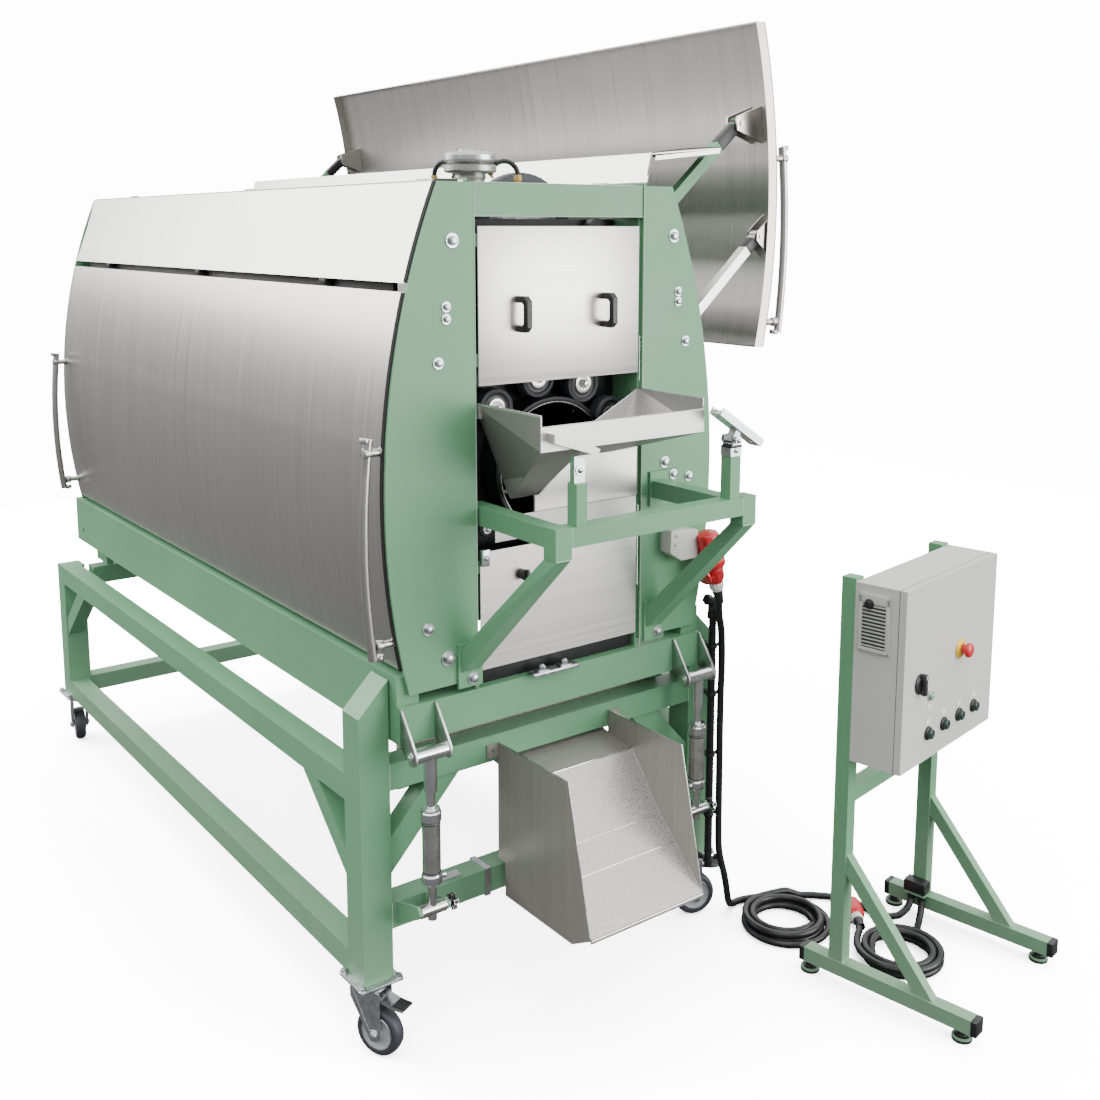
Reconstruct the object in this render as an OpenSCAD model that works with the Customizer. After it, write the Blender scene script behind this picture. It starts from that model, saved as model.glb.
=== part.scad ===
// Tilting rotary drum machine with a separate control stand.
// X runs across the front, Y from the front to the back, Z up. The floor is z = 0.

/* [Base frame] */
// Width over the legs
base_w = 1124; // [950:1:1400]
// Length over the legs
base_l = 2450; // [1900:1:3000]
// Square leg tube
leg = 80; // [60:1:100]
// Square rail tube
rail = 66; // [50:1:80]
// Square brace tube
brace = 52; // [40:1:60]
// Height of the leg bottoms over the floor
caster_h = 200; // [180:1:240]
// Height of the upper rails' tops
rail_top = 716; // [620:1:800]
// Height of the front legs' outer top edges
leg_top = 874; // [850:1:900]
// Clearance between separate welded tubes
weld = 0.2; // [0.1:0.1:0.5]

/* [Tilting frame] */
// Gap between the base's upper rails and the tilting frame
tilt_gap = 88; // [60:1:120]
// Height of the tilting frame's side rails
tilt_h = 163; // [120:1:200]
// Height of its front and rear beams
beam_h = 92; // [70:1:110]
// Thickness of the tilting frame's rails
tilt_t = 60; // [40:1:80]
// How far it stands out in front of the legs
overhang = 45; // [30:1:80]
// Largest tilt in degrees
tilt_max = 3; // [1:0.5:3]

/* [End frames and covers] */
// Height of the end frames' tops
body_top = 2107; // [1950:1:2250]
// Half width of the end frames at the widest point
belly_x = 504; // [480:1:540]
// Height of the widest point
belly_z = 1370; // [1300:1:1450]
// How much narrower the half width is at the top
side_sag = 150; // [100:1:200]
// Thickness of the end plates
plate_t = 12; // [8:1:16]
// Half width of the front opening
open_x = 258; // [220:1:280]
// Height of the top beam
top_beam_h = 78; // [60:1:100]
// Sheet thickness of doors, covers and panels
sheet = 3; // [2:0.5:5]
// Depth of the folded edges of doors
fold = 28; // [20:1:40]
// Height of the side doors' lower edges
door_z0 = 982; // [970:1:1010]
// Height of the side doors' upper edges
door_z1 = 1860; // [1800:1:1900]
// Slot between a door and the cover over it
door_slot = 20; // [10:1:30]
// Opening angle of the upper covers
cover_swing = 76; // [40:1:78]

/* [Door lift] */
// Length of the parallel arms
arm_l = 418; // [380:1:430]
// Direction of the arms with the door closed, degrees up from level
arm_closed = -81.5; // [-84:0.5:-78]
// Opening swing of the arms
arm_swing = 123; // [90:1:123]
// Width of an arm
arm_w = 30; // [26:1:34]
// Depth of an arm
arm_t = 26; // [20:1:28]

/* [Drum] */
// Height of the drum's axis
drum_z = 1412; // [1400:1:1430]
// Outer radius of the drum shell
drum_r = 380; // [300:1:390]
// Wall of the drum
drum_t = 8; // [5:1:12]
// Outer radius of the running rings
ring_r = 428; // [400:1:430]
// Radius of the open mouth
mouth_r = 161; // [130:1:165]
// Outer radius of the neck
neck_r = 175; // [168:1:180]
// Outer radius of the guide rollers
roller_r = 50; // [40:1:55]
// Outer radius of the drive wheel
wheel_r = 150; // [120:1:160]

/* [Hopper] */
// Half width of the hopper
hopper_x = 247; // [200:1:250]
// Distance of the hopper's lip from the end frame
hopper_y = 240; // [180:1:260]
// Height of the side wings' tops
hopper_z = 1592; // [1560:1:1620]
// Height of the front lip
lip_h = 54; // [40:1:70]

/* [Discharge chute] */
// Width of the chute
chute_w = 362; // [280:1:420]
// How far the chute reaches out in front of the base
chute_y = 345; // [250:1:400]

/* [Casters] */
// Wheel radius
caster_r = 62; // [50:1:70]
// Wheel width
caster_w = 42; // [30:1:50]
// Trail of the wheel behind the swivel
trail = 24; // [20:1:40]

/* [Control stand] */
// Turn of the stand about the upright
stand_turn = 10; // [0:1:20]
// Distance between the posts' middles
stand_w = 472; // [420:1:560]
// Length of a foot
foot_l = 500; // [440:1:620]
// Square stand tube
tube = 40; // [30:1:50]
// Height of the posts
post_top = 1125; // [1000:1:1250]
// Cabinet height
cab_h = 478; // [400:1:560]
// Cabinet depth without its door
cab_d = 122; // [100:1:160]

/* [Cables] */
// Cable radius
cable_r = 10; // [6:0.5:11]

/* [Hidden] */
$fn = 48;

// Colours
GREEN = "#8fae96";
STEEL = "#c9c8c4";
DARK = "#232325";
ZINC = "#c3c8cc";
GREY = "#cfd0cd";
RED = "#c8202a";
AMBER = "#e0b21c";

// Running clearance of a pin in its bore, and seat gap between bodies
run = 0.05;
seat = 0.3;

// Base frame levels and places
leg_x = base_w / 2;
inner_x = leg_x - leg;
low_top = caster_h + 62;
front_beam_top = rail_top + 28;
cross_top = caster_h + 191;

// Tilting frame levels and places
tilt_z0 = rail_top + tilt_gap;
tilt_z1 = tilt_z0 + tilt_h;
beam_top = tilt_z0 + beam_h;
tilt_x = inner_x - 4;
front_y = -overhang;
rear_y = base_l - 20;
tilt_y1 = base_l;
hinge_y = base_l - 70;
hinge_z = tilt_z0 + 54;
hinge_pin_r = 12;

// Lift cylinders: the rod pin lies below the tilt hinge, so that it rises nearly straight
lift_x = 427;
lift_y = front_y - 50;
lift_r = hinge_y - lift_y;
lift_z = hinge_z - lift_r * tan(tilt_max / 2);
lift_pin_r = 10;
barrel_z0 = cross_top + 78;
barrel_z1 = lift_z - 135;
foot_pin_z = cross_top + 12;

// Side outline: an arc, widest at belly_z
side_h = body_top - belly_z;
side_r = (side_h * side_h + side_sag * side_sag) / (2 * side_sag);
function side_x(z) = belly_x - side_r + sqrt(side_r * side_r - pow(z - belly_z, 2));
skin_y0 = front_y + plate_t + 2;
skin_y1 = rear_y - plate_t - 2;

// Upper covers
cover_z0 = door_z1 + door_slot;
cover_x0 = side_x(cover_z0);
cover_x1 = side_x(body_top);
cover_hinge_x = cover_x1 - 82;
cover_hinge_z = body_top + 5;
hinge_rod_r = 4;

// Parallel arms: frame pivots, and how far the open door has moved
upper_px = 348;
upper_pz = body_top - 99;
lower_px = upper_px + 45;
lower_pz = upper_pz - 305;
arm_shaft_r = 14;
low_shaft_r = 11;
arm_pin_r = 8;
arm_open = arm_closed + arm_swing;
arm_dx = arm_l * cos(arm_closed);
arm_dz = arm_l * sin(arm_closed);
door_dx = arm_l * (cos(arm_open) - cos(arm_closed));
door_dz = arm_l * (sin(arm_open) - sin(arm_closed));
upper_arm_y = skin_y0 + 69;
lower_arm_y = skin_y0 + 28;
mid_y = (front_y + rear_y) / 2;

// Drum, rollers and drive wheel along Y
plate_y0 = front_y + 111;
plate_y1 = plate_y0 + 10;
neck_y0 = front_y + 40;
cone_y0 = plate_y1 + 8;
ring_y0 = cone_y0 + 36;
ring_w = 40;
drum_y1 = rear_y - 160;
roller_c = neck_r + roller_r + seat;
roller_y0 = neck_y0 + 12;
roller_w = 40;
roller_angles = [-46, -9, 28, 61];
wheel_z = drum_z + ring_r + wheel_r + seat;

// Hopper frame
arm_s = 45;
ring_z1 = 1345;
ring_y1 = front_y - 300;
left_arm_x = 9 - open_x;
right_arm_x = 291;
corner_x = 330;
post_y = ring_y1 + 5;

// Stand, in its own turned frame
stand_x = 526;
stand_y = -560;
foot_y1 = -452;
foot_z0 = 30;
foot_z1 = foot_z0 + tube;
cab_x0 = stand_x - tube / 2;
cab_x1 = cab_x0 + stand_w + tube + 4;
cab_y1 = stand_y - tube / 2;
cab_y0 = cab_y1 - cab_d;
cab_z0 = 640;
cab_z1 = cab_z0 + cab_h;
door_t = 20;
panel_y = cab_y0 - door_t;
button_xs = [for (i = [0 : 3]) cab_x0 + 142 + 88 * i];
button_z = cab_z0 + 72;

// Cable routes, chosen by hand
link_points = [
    [491.35, -101, 1014.05], [494.9, -101, 1001], [508, -90, 950], [536, -72, 890], [549, -63, 800], [550, -60, 700],
    [550, -60, 600], [550, -62, 400], [550, -63, 310], [552, -66, 230], [569, -73, 150], [594, -60, 84],
    [621, -40, 38], [650, -22, 14], [684, -20, 11], [720, -30, 11], [750, -46, 11], [775, -68, 11]
];
link_out_points = [
    [800, -88, 33], [824, -98, 27], [848, -110, 15], [892, -140, 11], [932, -186, 11], [952, -242, 11],
    [956, -300, 11], [966, -340, 12], [988, -366, 18], [1016, -376, 36], [1035, -375, 60], [1038, -374, 79]
];
mains_points = [
    [802, -372, 27], [826, -358, 28], [850, -336, 31]
];
mains_in_points = [
    [1047, -402, 79], [1046, -403, 64], [1036, -410, 38], [1012, -422, 16], [984, -438, 11], [964, -458, 11],
    [950, -486, 11]
];
link_coil_at = [708, -182];
mains_coil_at = [840, -490];
coil_h = 46;

// ---------- shared shapes ----------

// A box between two corners
module box(a, b) {
    translate([min(a[0], b[0]), min(a[1], b[1]), min(a[2], b[2])])
        cube([abs(b[0] - a[0]), abs(b[1] - a[1]), abs(b[2] - a[2])]);
}

// An outline in (y, z), from x0 to x1
module slab_x(points, x0, x1) {
    translate([x0, 0, 0]) rotate([90, 0, 90]) linear_extrude(height = x1 - x0) polygon(points);
}

// An outline in (x, z), from y0 to y1
module slab_y(points, y0, y1) {
    translate([0, y1, 0]) rotate([90, 0, 0]) linear_extrude(height = y1 - y0) polygon(points);
}

// Rods along X, Y and Z
module rod_x(r, x0, x1, y, z) {
    translate([x0, y, z]) rotate([0, 90, 0]) cylinder(r = r, h = x1 - x0);
}
module rod_y(r, y0, y1, x, z) {
    translate([x, y0, z]) rotate([-90, 0, 0]) cylinder(r = r, h = y1 - y0);
}
module rod_z(r, z0, z1, x, y) {
    translate([x, y, z0]) cylinder(r = r, h = z1 - z0);
}

// Both sides
module both() {
    children();
    mirror([1, 0, 0]) children();
}

// A hexagon bolt head with its washer, pointing towards -Y
module bolt_y(x, y, z, r = 9) {
    rod_y(r * 1.6, y - 2.5, y, x, z);
    translate([x, y - 2.5, z]) rotate([90, 0, 0]) cylinder(r = r, h = r * 0.9, $fn = 6);
}

// The space inside the side outline, between two depths
module side_space(inset, y0, y1) {
    intersection() {
        box([-belly_x - 5, y0, door_z0 - 60], [belly_x + 5, y1, body_top]);
        translate([belly_x - side_r, y0, belly_z]) rotate([-90, 0, 0])
            cylinder(r = side_r - inset, h = y1 - y0, $fn = 360);
        translate([side_r - belly_x, y0, belly_z]) rotate([-90, 0, 0])
            cylinder(r = side_r - inset, h = y1 - y0, $fn = 360);
    }
}

// A curved sheet that follows the right side's outline
module side_band(inset, t, y0, y1, z0, z1) {
    intersection() {
        translate([belly_x - side_r, y0, belly_z]) rotate([-90, 0, 0]) difference() {
            cylinder(r = side_r - inset, h = y1 - y0, $fn = 360);
            translate([0, 0, -1]) cylinder(r = side_r - inset - t, h = y1 - y0 + 2, $fn = 360);
        }
        box([200, y0, z0], [belly_x + 5, y1, z1]);
    }
}

// ---------- base frame ----------

module front_leg() {
    slab_y([[-leg_x, caster_h], [-inner_x, caster_h], [-inner_x, leg_top + leg], [-leg_x, leg_top]], 0, leg);
}

module side_brace(y0, way) {
    points = [
        [y0 + way * weld, 448], [y0 + way * weld, 515],
        [y0 + way * 148, rail_top - rail - 4], [y0 + way * 232, rail_top - rail - 4]
    ];
    slab_x(points, -leg_x + 4, -leg_x + 4 + brace);
}

module front_brace(y0) {
    z1 = front_beam_top - rail - weld;
    slab_y([[-inner_x + weld, 460], [-inner_x + weld, 552], [-inner_x + 118, z1], [-inner_x + 205, z1]],
        y0, y0 + brace);
}

module lift_bracket() {
    // Two plates on the lower beam
    for (x = [lift_x - 42, lift_x + 34])
        slab_x([[-weld, cross_top - 56], [-weld, cross_top], [lift_y, foot_pin_z + 16],
            [lift_y - 16, foot_pin_z], [lift_y, foot_pin_z - 16]], x, x + 8);
}

module tilt_post() {
    x0 = tilt_x - tilt_t - 30;
    difference() {
        slab_x([[hinge_y - 60, rail_top + weld], [hinge_y + 60, rail_top + weld], [hinge_y + 60, tilt_z0 - 44],
            [hinge_y + 24, tilt_z0 - 6], [hinge_y + 24, hinge_z + 24], [hinge_y - 24, hinge_z + 24],
            [hinge_y - 24, tilt_z0 - 6], [hinge_y - 60, tilt_z0 - 44]], x0, x0 + 24);
        rod_x(hinge_pin_r + run, x0 - 1, x0 + 25, hinge_y, hinge_z);
    }
}

module base_frame() color(GREEN) {
    both() {
        front_leg();
        box([-leg_x, base_l - leg, caster_h], [-inner_x, base_l, rail_top]);
        box([-leg_x, leg + weld, rail_top - rail], [-leg_x + rail, base_l - leg - weld, rail_top]);
        box([-leg_x, leg + weld, caster_h], [-leg_x + rail, base_l - leg - weld, low_top]);
        side_brace(leg, 1);
        side_brace(base_l - leg, -1);
        front_brace(8);
        lift_bracket();
        tilt_post();
    }
    box([-inner_x + weld, 0, front_beam_top - rail], [inner_x - weld, rail, front_beam_top]);
    box([-inner_x + weld, 0, cross_top - rail], [inner_x - weld, rail, cross_top]);
    box([-tilt_x + 10, base_l - leg - rail, rail_top - rail], [tilt_x - 10, base_l - leg, rail_top]);
    box([-inner_x + weld, base_l - rail, caster_h], [inner_x - weld, base_l, low_top]);
}

// ---------- casters ----------

// The leg middles, each with the direction in which its wheel trails
caster_places = [
    [-leg_x + leg / 2, leg / 2, -64], [leg_x - leg / 2, leg / 2, -20],
    [-leg_x + leg / 2, base_l - leg / 2, 80], [leg_x - leg / 2, base_l - leg / 2, 110]
];
plate_z0 = caster_h - 6;
head_z0 = plate_z0 - 14;
axle_z = caster_r;

module base_fittings() color(ZINC) {
    foot_knobs();
    for (p = caster_places) translate([p[0], p[1], 0]) caster_plate();
    beam_strap(-206);
    box([-334, 10, cross_top + weld], [-276, 40, cross_top + 5]);
}

// A strap around the lower front beam
module beam_strap(x) difference() {
    box([x - 8, -4, cross_top - rail - 4], [x + 8, rail + 4, cross_top + 4]);
    box([x - 9, -weld, cross_top - rail - weld], [x + 9, rail + weld, cross_top + weld]);
}

plate_bolt_out = leg / 2 + 9;
plate_half = plate_bolt_out + 8;
module caster_plate() {
    box([-plate_half, -plate_half, plate_z0], [plate_half, plate_half, caster_h - weld]);
    rod_z(13, head_z0 - 20, plate_z0, 0, 0);
    for (x = [-plate_bolt_out, plate_bolt_out], y = [-plate_bolt_out, plate_bolt_out])
        rod_z(8, caster_h - weld, caster_h + 8, x, y);
}

// A fork whose wheel trails along its local X
module caster_fork(i) {
    p = caster_places[i];
    gap = caster_w / 2 + 3;
    axle_x = trail;
    color(ZINC) translate([p[0], p[1], 0]) rotate([0, 0, p[2]]) difference() {
        union() {
            rod_z(40, head_z0 - 6, head_z0 + 12, 0, 0);
            for (s = [-1, 1]) {
                translate([0, s * gap + (s > 0 ? 5 : 0), 0]) rotate([90, 0, 0])
                    linear_extrude(height = 5)
                    polygon([[-44, head_z0 - 6], [40, head_z0 - 6], [axle_x + 18, axle_z],
                        [axle_x + 8, axle_z - 16], [axle_x - 8, axle_z - 16], [axle_x - 18, axle_z],
                        [-44, head_z0 - 30]]);
                rod_y(9, s > 0 ? gap + 5 : -gap - 12, s > 0 ? gap + 12 : -gap - 5, axle_x, axle_z);
            }
            rod_y(6, -gap - 5, gap + 5, axle_x, axle_z);
            rod_y(5, -gap - 5, gap + 5, pedal_x, pedal_z);
        }
        rod_z(13 + run, head_z0 - 30, plate_z0 + 1, 0, 0);
    }
}

module caster_wheel(i) {
    p = caster_places[i];
    color("#55585c") translate([p[0], p[1], 0]) rotate([0, 0, p[2]]) translate([trail, 0, axle_z])
        rotate([90, 0, 0]) translate([0, 0, -caster_w / 2]) difference() {
            cylinder(r = caster_r, h = caster_w);
            translate([0, 0, -1]) cylinder(r = 6 + run, h = caster_w + 2);
            for (z = [-1, caster_w - 7]) translate([0, 0, z]) difference() {
                cylinder(r = caster_r - 18, h = 8);
                translate([0, 0, -1]) cylinder(r = 14, h = 10);
            }
        }
}

// A brake pedal, on a pin across the fork and over the wheel
pedal_x = 34;
pedal_z = head_z0 - 28;
module caster_pedal(i) {
    p = caster_places[i];
    half = caster_w / 2;
    color(ZINC) translate([p[0], p[1], 0]) rotate([0, 0, p[2]]) difference() {
        union() {
            rod_y(11, -half, half, pedal_x, pedal_z);
            slab_y([[pedal_x, pedal_z + 8], [pedal_x, pedal_z - 3], [pedal_x + 40, pedal_z - 12],
                [pedal_x + 70, pedal_z - 12], [pedal_x + 72, pedal_z - 6], [pedal_x + 40, pedal_z - 3]], -half, half);
        }
        rod_y(5 + run, -half - 1, half + 1, pedal_x, pedal_z);
    }
}

// ---------- discharge chute ----------

chute_x0 = -172;
chute_x1 = chute_x0 + chute_w;
chute_top = rail_top + 6;
chute_lip = cross_top - 30;
slide_top = front_beam_top - rail - 8;
module chute_wall(x0, x1) {
    slab_x([[-1, cross_top + 20], [-1, chute_top], [-chute_y + 55, chute_top], [-chute_y - 30, chute_lip],
        [-chute_y + 40, chute_lip - 40], [-31, chute_lip - 40], [-31, cross_top + 20]], x0, x1);
}
module discharge_chute() color(STEEL) {
    chute_wall(chute_x0, chute_x0 + sheet);
    chute_wall(chute_x1 - sheet, chute_x1);
    slab_x([[rail, slide_top], [rail, slide_top + 3], [-102, slide_top - 22], [-216, slide_top - 160],
        [-chute_y - 33, chute_lip + 2], [-chute_y - 33, chute_lip - 8], [-chute_y - 29, chute_lip - 8],
        [-chute_y - 29, chute_lip], [-214, slide_top - 164], [-102, slide_top - 26]],
        chute_x0 + sheet + weld, chute_x1 - sheet - weld);
    for (x = [chute_x0 - 34, chute_x1 + weld]) difference() {
        box([x, -5, chute_top - 36], [x + 34 - weld, -seat, chute_top]);
        rod_y(5, -8, 2, x + 17, chute_top - 18);
    }
    // Apron behind the front beam
    box([-inner_x + 60, rail + 4, front_beam_top - rail - 40], [inner_x - 60, rail + 7, tilt_z0 - 8]);
    box([-60, rail + weld, front_beam_top - 30], [60, rail + 4 - weld, front_beam_top - 4]);
}

// ---------- lift cylinders ----------

module lift_barrels() color(STEEL) both() {
    difference() {
        union() {
            rod_z(22, barrel_z0, barrel_z1, lift_x, lift_y);
            rod_z(24, barrel_z1 - 30, barrel_z1 - 8, lift_x, lift_y);
            rod_z(24, barrel_z0 + 6, barrel_z0 + 22, lift_x, lift_y);
            rod_z(11, foot_pin_z - 26, barrel_z0, lift_x, lift_y);
            rod_x(15, lift_x - 34 + seat, lift_x + 34 - seat, lift_y, foot_pin_z);
        }
        rod_z(11 + run, barrel_z0 + 12, barrel_z1 + 1, lift_x, lift_y);
    }
}

// Star knobs that lock the cylinders' feet
module foot_knobs() for (x = [-lift_x + 42 + weld, lift_x + 42 + weld]) {
    rod_x(lift_pin_r, x, x + 14, lift_y, foot_pin_z);
    for (k = [0 : 4]) translate([x + 14, lift_y, foot_pin_z]) rotate([k * 72, 0, 0]) box([-6, -5, 0], [6, 5, 20]);
}

module lift_rods() color(STEEL) both() difference() {
    union() {
        rod_z(11, barrel_z0 + 20, lift_z - 40, lift_x, lift_y);
        rod_z(16, barrel_z1 + 42, lift_z, lift_x, lift_y);
        rod_x(18, lift_x - 44 + seat, lift_x + 44 - seat, lift_y, lift_z);
    }
    rod_x(lift_pin_r + 1.3, lift_x - 60, lift_x + 60, lift_y, lift_z);
}

// ---------- tilting frame ----------

module clevis_plate(x) {
    slab_x([[front_y - weld, tilt_z0], [front_y - weld, beam_top - 4], [front_y - 5, beam_top - 4],
        [lift_y - 19, lift_z + 8], [lift_y - 19, lift_z - 12], [lift_y - 8, lift_z - 20],
        [lift_y + 8, lift_z - 20]], x, x + 6);
}

module tilt_frame() color(GREEN) {
    both() {
        difference() {
            box([tilt_x - tilt_t, front_y + tilt_t + weld, tilt_z0], [tilt_x, tilt_y1, tilt_z1]);
            rod_x(hinge_pin_r, tilt_x - tilt_t - 1, tilt_x + 1, hinge_y, hinge_z);
        }
        rod_x(hinge_pin_r, tilt_x - tilt_t - 34, tilt_x + 3, hinge_y, hinge_z);
        clevis_plate(lift_x - 50);
        clevis_plate(lift_x + 44);
        rod_x(lift_pin_r, lift_x - 56, lift_x + 56, lift_y, lift_z);
    }
    box([-tilt_x, front_y, tilt_z0], [tilt_x, front_y + tilt_t, beam_top]);
    both() box([tilt_x - tilt_t, front_y + plate_t + weld, beam_top + weld],
        [tilt_x, front_y + tilt_t, tilt_z1]);
    box([-tilt_x + tilt_t + weld, tilt_y1 - 40, tilt_z0], [tilt_x - tilt_t - weld, tilt_y1, tilt_z1]);
    for (y = [640, 1240, 1840])
        box([-tilt_x + tilt_t + weld, y, tilt_z0], [tilt_x - tilt_t - weld, y + 50, tilt_z0 + 60]);
}

// ---------- end frames ----------

bearing_y0 = front_y + plate_t;
module bearing(r, x, z, y0, y1) {
    difference() {
        rod_y(r + 7, y0, y1, x, z);
        rod_y(r + run, y0 - 1, y1 + 1, x, z);
    }
}

left_bolts = [[-319, body_top - 133, 11], [-337, 1824, 8], [-337, 1796, 8], [-360, 1696, 9],
    [-397, 1072, 10], [-343, 990, 12]];
right_bolts = [[360, body_top - 125, 11], [378, 1838, 8], [378, 1812, 8], [406, 1707, 9], [339, 1389, 10],
    [426, 1341, 9]];
module front_frame() color(GREEN) {
    both() {
        intersection() {
            side_space(0, front_y, front_y + plate_t);
            box([open_x, front_y - 1, beam_top + weld], [belly_x + 5, front_y + plate_t + 1, body_top]);
        }
        box([open_x - 8, front_y + plate_t + weld, beam_top + weld],
            [open_x, plate_y0, body_top - top_beam_h - weld]);
        bearing(arm_shaft_r, upper_px, upper_pz, bearing_y0 + weld, bearing_y0 + 22);
        bearing(low_shaft_r, lower_px, lower_pz, bearing_y0 + weld, bearing_y0 + 15);
        for (z = [beam_top + 60, 1180, 1680, 1960])
            box([open_x - 22, front_y + 8, z], [open_x - 8 - weld, front_y + 14, z + 30]);
    }
    box([-open_x + weld, front_y + 3, body_top - top_beam_h], [open_x - weld, front_y + 60, body_top]);
}

module frame_bolts() color(ZINC) {
    for (b = concat(left_bolts, right_bolts)) bolt_y(b[0], front_y - weld, b[1], b[2]);
    // Clamp plate with two bolts on the front beam
    box([-110, front_y - 28, beam_top + weld], [32, front_y + 2, beam_top + 10]);
    for (x = [-76, -6]) rod_z(10, beam_top + 10, beam_top + 19, x, front_y - 14);
    bolt_y(-278, foot_face_y - weld, 930, 10);
    bolt_y(right_arm_x + 24, foot_face_y - weld, 930, 10);
    bolt_y(right_arm_x + 72, foot_face_y - weld, ring_z1 + 10, 9);
}

module rear_frame() color(GREEN) {
    difference() {
        intersection() {
            side_space(0, rear_y - plate_t, rear_y);
            box([-belly_x - 5, rear_y - plate_t - 1, tilt_z1 + weld], [belly_x + 5, rear_y + 1, body_top]);
        }
        rod_y(40 + run, rear_y - 40, rear_y + 10, 0, drum_z);
    }
    both() {
        bearing(arm_shaft_r, upper_px, upper_pz, rear_y - plate_t - 22, rear_y - plate_t - weld);
        bearing(low_shaft_r, lower_px, lower_pz, rear_y - plate_t - 14, rear_y - plate_t - weld);
        box([200, front_y + 62, body_top - 60], [232, rear_y - plate_t - weld, body_top - 8]);
        rod_y(hinge_rod_r, skin_y0 - 2 + weld, skin_y1 + 2 - weld, cover_hinge_x, cover_hinge_z);
        for (y = [330, 1250, 2050])
            box([232 + weld, y, body_top - 14], [cover_hinge_x - hinge_rod_r - weld, y + 60, cover_hinge_z + 3]);
    }
}

module roller_plate() color(DARK) {
    difference() {
        box([-open_x, plate_y0 + weld, 1130], [open_x, plate_y1, wheel_z + 34]);
        rod_y(neck_r + run, plate_y0 - 1, plate_y1 + 1, 0, drum_z);
        rod_y(15, plate_y0 - 1, plate_y1 + 1, 0, wheel_z);
    }
    for (a = roller_angles)
        rod_y(9, roller_y0 - 8, plate_y0, roller_c * sin(a), drum_z + roller_c * cos(a));
    rod_y(30, plate_y0 - 26, plate_y0, 175, wheel_z + 6);
}

// ---------- drum, rollers and drive ----------

// An outline in (radius, y), turned about the drum's axis
module turned(points) translate([0, 0, drum_z]) rotate([-90, 0, 0]) rotate_extrude($fn = 96) polygon(points);

module drum() color("#8d8f92") {
    inner = drum_r - drum_t;
    tail_y = drum_y1 - ring_w - 40;
    // Neck, front cone, shell with its two rings, and the rear head with its shaft
    turned([[mouth_r, neck_y0], [neck_r, neck_y0], [neck_r, cone_y0 - weld], [mouth_r, cone_y0 - weld]]);
    turned([[mouth_r, cone_y0], [neck_r, cone_y0], [drum_r, ring_y0 - 10], [drum_r, ring_y0 - weld],
        [inner, ring_y0 - weld], [mouth_r, cone_y0 + 10]]);
    turned([[inner, ring_y0], [ring_r, ring_y0], [ring_r, ring_y0 + ring_w], [drum_r, ring_y0 + ring_w],
        [drum_r, tail_y], [ring_r, tail_y], [ring_r, tail_y + ring_w], [drum_r, tail_y + ring_w],
        [drum_r, drum_y1 - drum_t - weld], [inner, drum_y1 - drum_t - weld]]);
    turned([[0, drum_y1 - drum_t], [drum_r, drum_y1 - drum_t], [drum_r, drum_y1], [40, drum_y1],
        [40, rear_y + 6], [0, rear_y + 6]]);
}

module guide_roller(i) {
    a = roller_angles[i];
    color(DARK) translate([roller_c * sin(a), roller_y0, drum_z + roller_c * cos(a)]) rotate([-90, 0, 0])
        difference() {
            cylinder(r = roller_r, h = roller_w);
            translate([0, 0, -1]) cylinder(r = 9 + run, h = roller_w + 2);
            translate([0, 0, -1]) difference() {
                cylinder(r = roller_r - 14, h = 5);
                translate([0, 0, -1]) cylinder(r = 22, h = 7);
            }
        }
}

module drive_wheel() color(DARK) {
    rod_y(wheel_r, ring_y0, ring_y0 + ring_w, 0, wheel_z);
    rod_y(15 - run, plate_y0 - 20, ring_y0, 0, wheel_z);
    rod_y(30, plate_y0 - 30, plate_y0 - 20, 0, wheel_z);
}

motor_x = -190;
motor_y = front_y + 118;
module gear_motor() color("#8b8c86") {
    box([motor_x - 50, front_y + 60 + weld, body_top - 8 + weld], [motor_x + 55, motor_y + 70, body_top + 2]);
    rod_z(34, body_top + 2, body_top + 24, motor_x, motor_y);
    rod_z(63, body_top + 24, body_top + 74, motor_x, motor_y);
    rod_z(30, body_top + 74, body_top + 80, motor_x, motor_y);
    for (turn = [-20, 105]) translate([motor_x, motor_y, body_top + 20]) rotate([0, 0, turn])
        translate([84, 0, 0]) rotate([90, 0, 0]) rotate_extrude(angle = 180) translate([34, 0]) circle(r = 6);
    // Bases of the two hoses
    box([motor_x + 55 + weld, front_y + 60 + weld, body_top - 8 + weld], [motor_x + 135, motor_y - 18, body_top + 2]);
    rod_z(9, body_top + 2, body_top + 20, motor_x + 118 * cos(-20), motor_y + 118 * sin(-20));
    box([motor_x - 50, motor_y + 70 + weld, body_top - 8 + weld], [motor_x - 10, motor_y + 134, body_top + 2]);
    rod_z(9, body_top + 2, body_top + 20, motor_x + 118 * cos(105), motor_y + 118 * sin(105));
}

// ---------- hopper ----------

lip_z1 = hopper_z - 25;
lip_z0 = lip_z1 - lip_h;
lip_y = front_y - hopper_y;
hop_y1 = front_y + 24;
spout_x0 = -147;
spout_x1 = -72;
spout_z = 1352;
spout_y = front_y + 18;
// The tray's back edge, where it rests on the guard plate
tray_x0 = 38;
tray_x1 = 160;
tray_z = 1439;
fold_x = -118;
guard_y = front_y + 4;
// A thin plate between corner points
module web(points) hull() for (p = points) translate(p) translate([-1.5, -1.5, -1.5]) cube(3);

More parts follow.
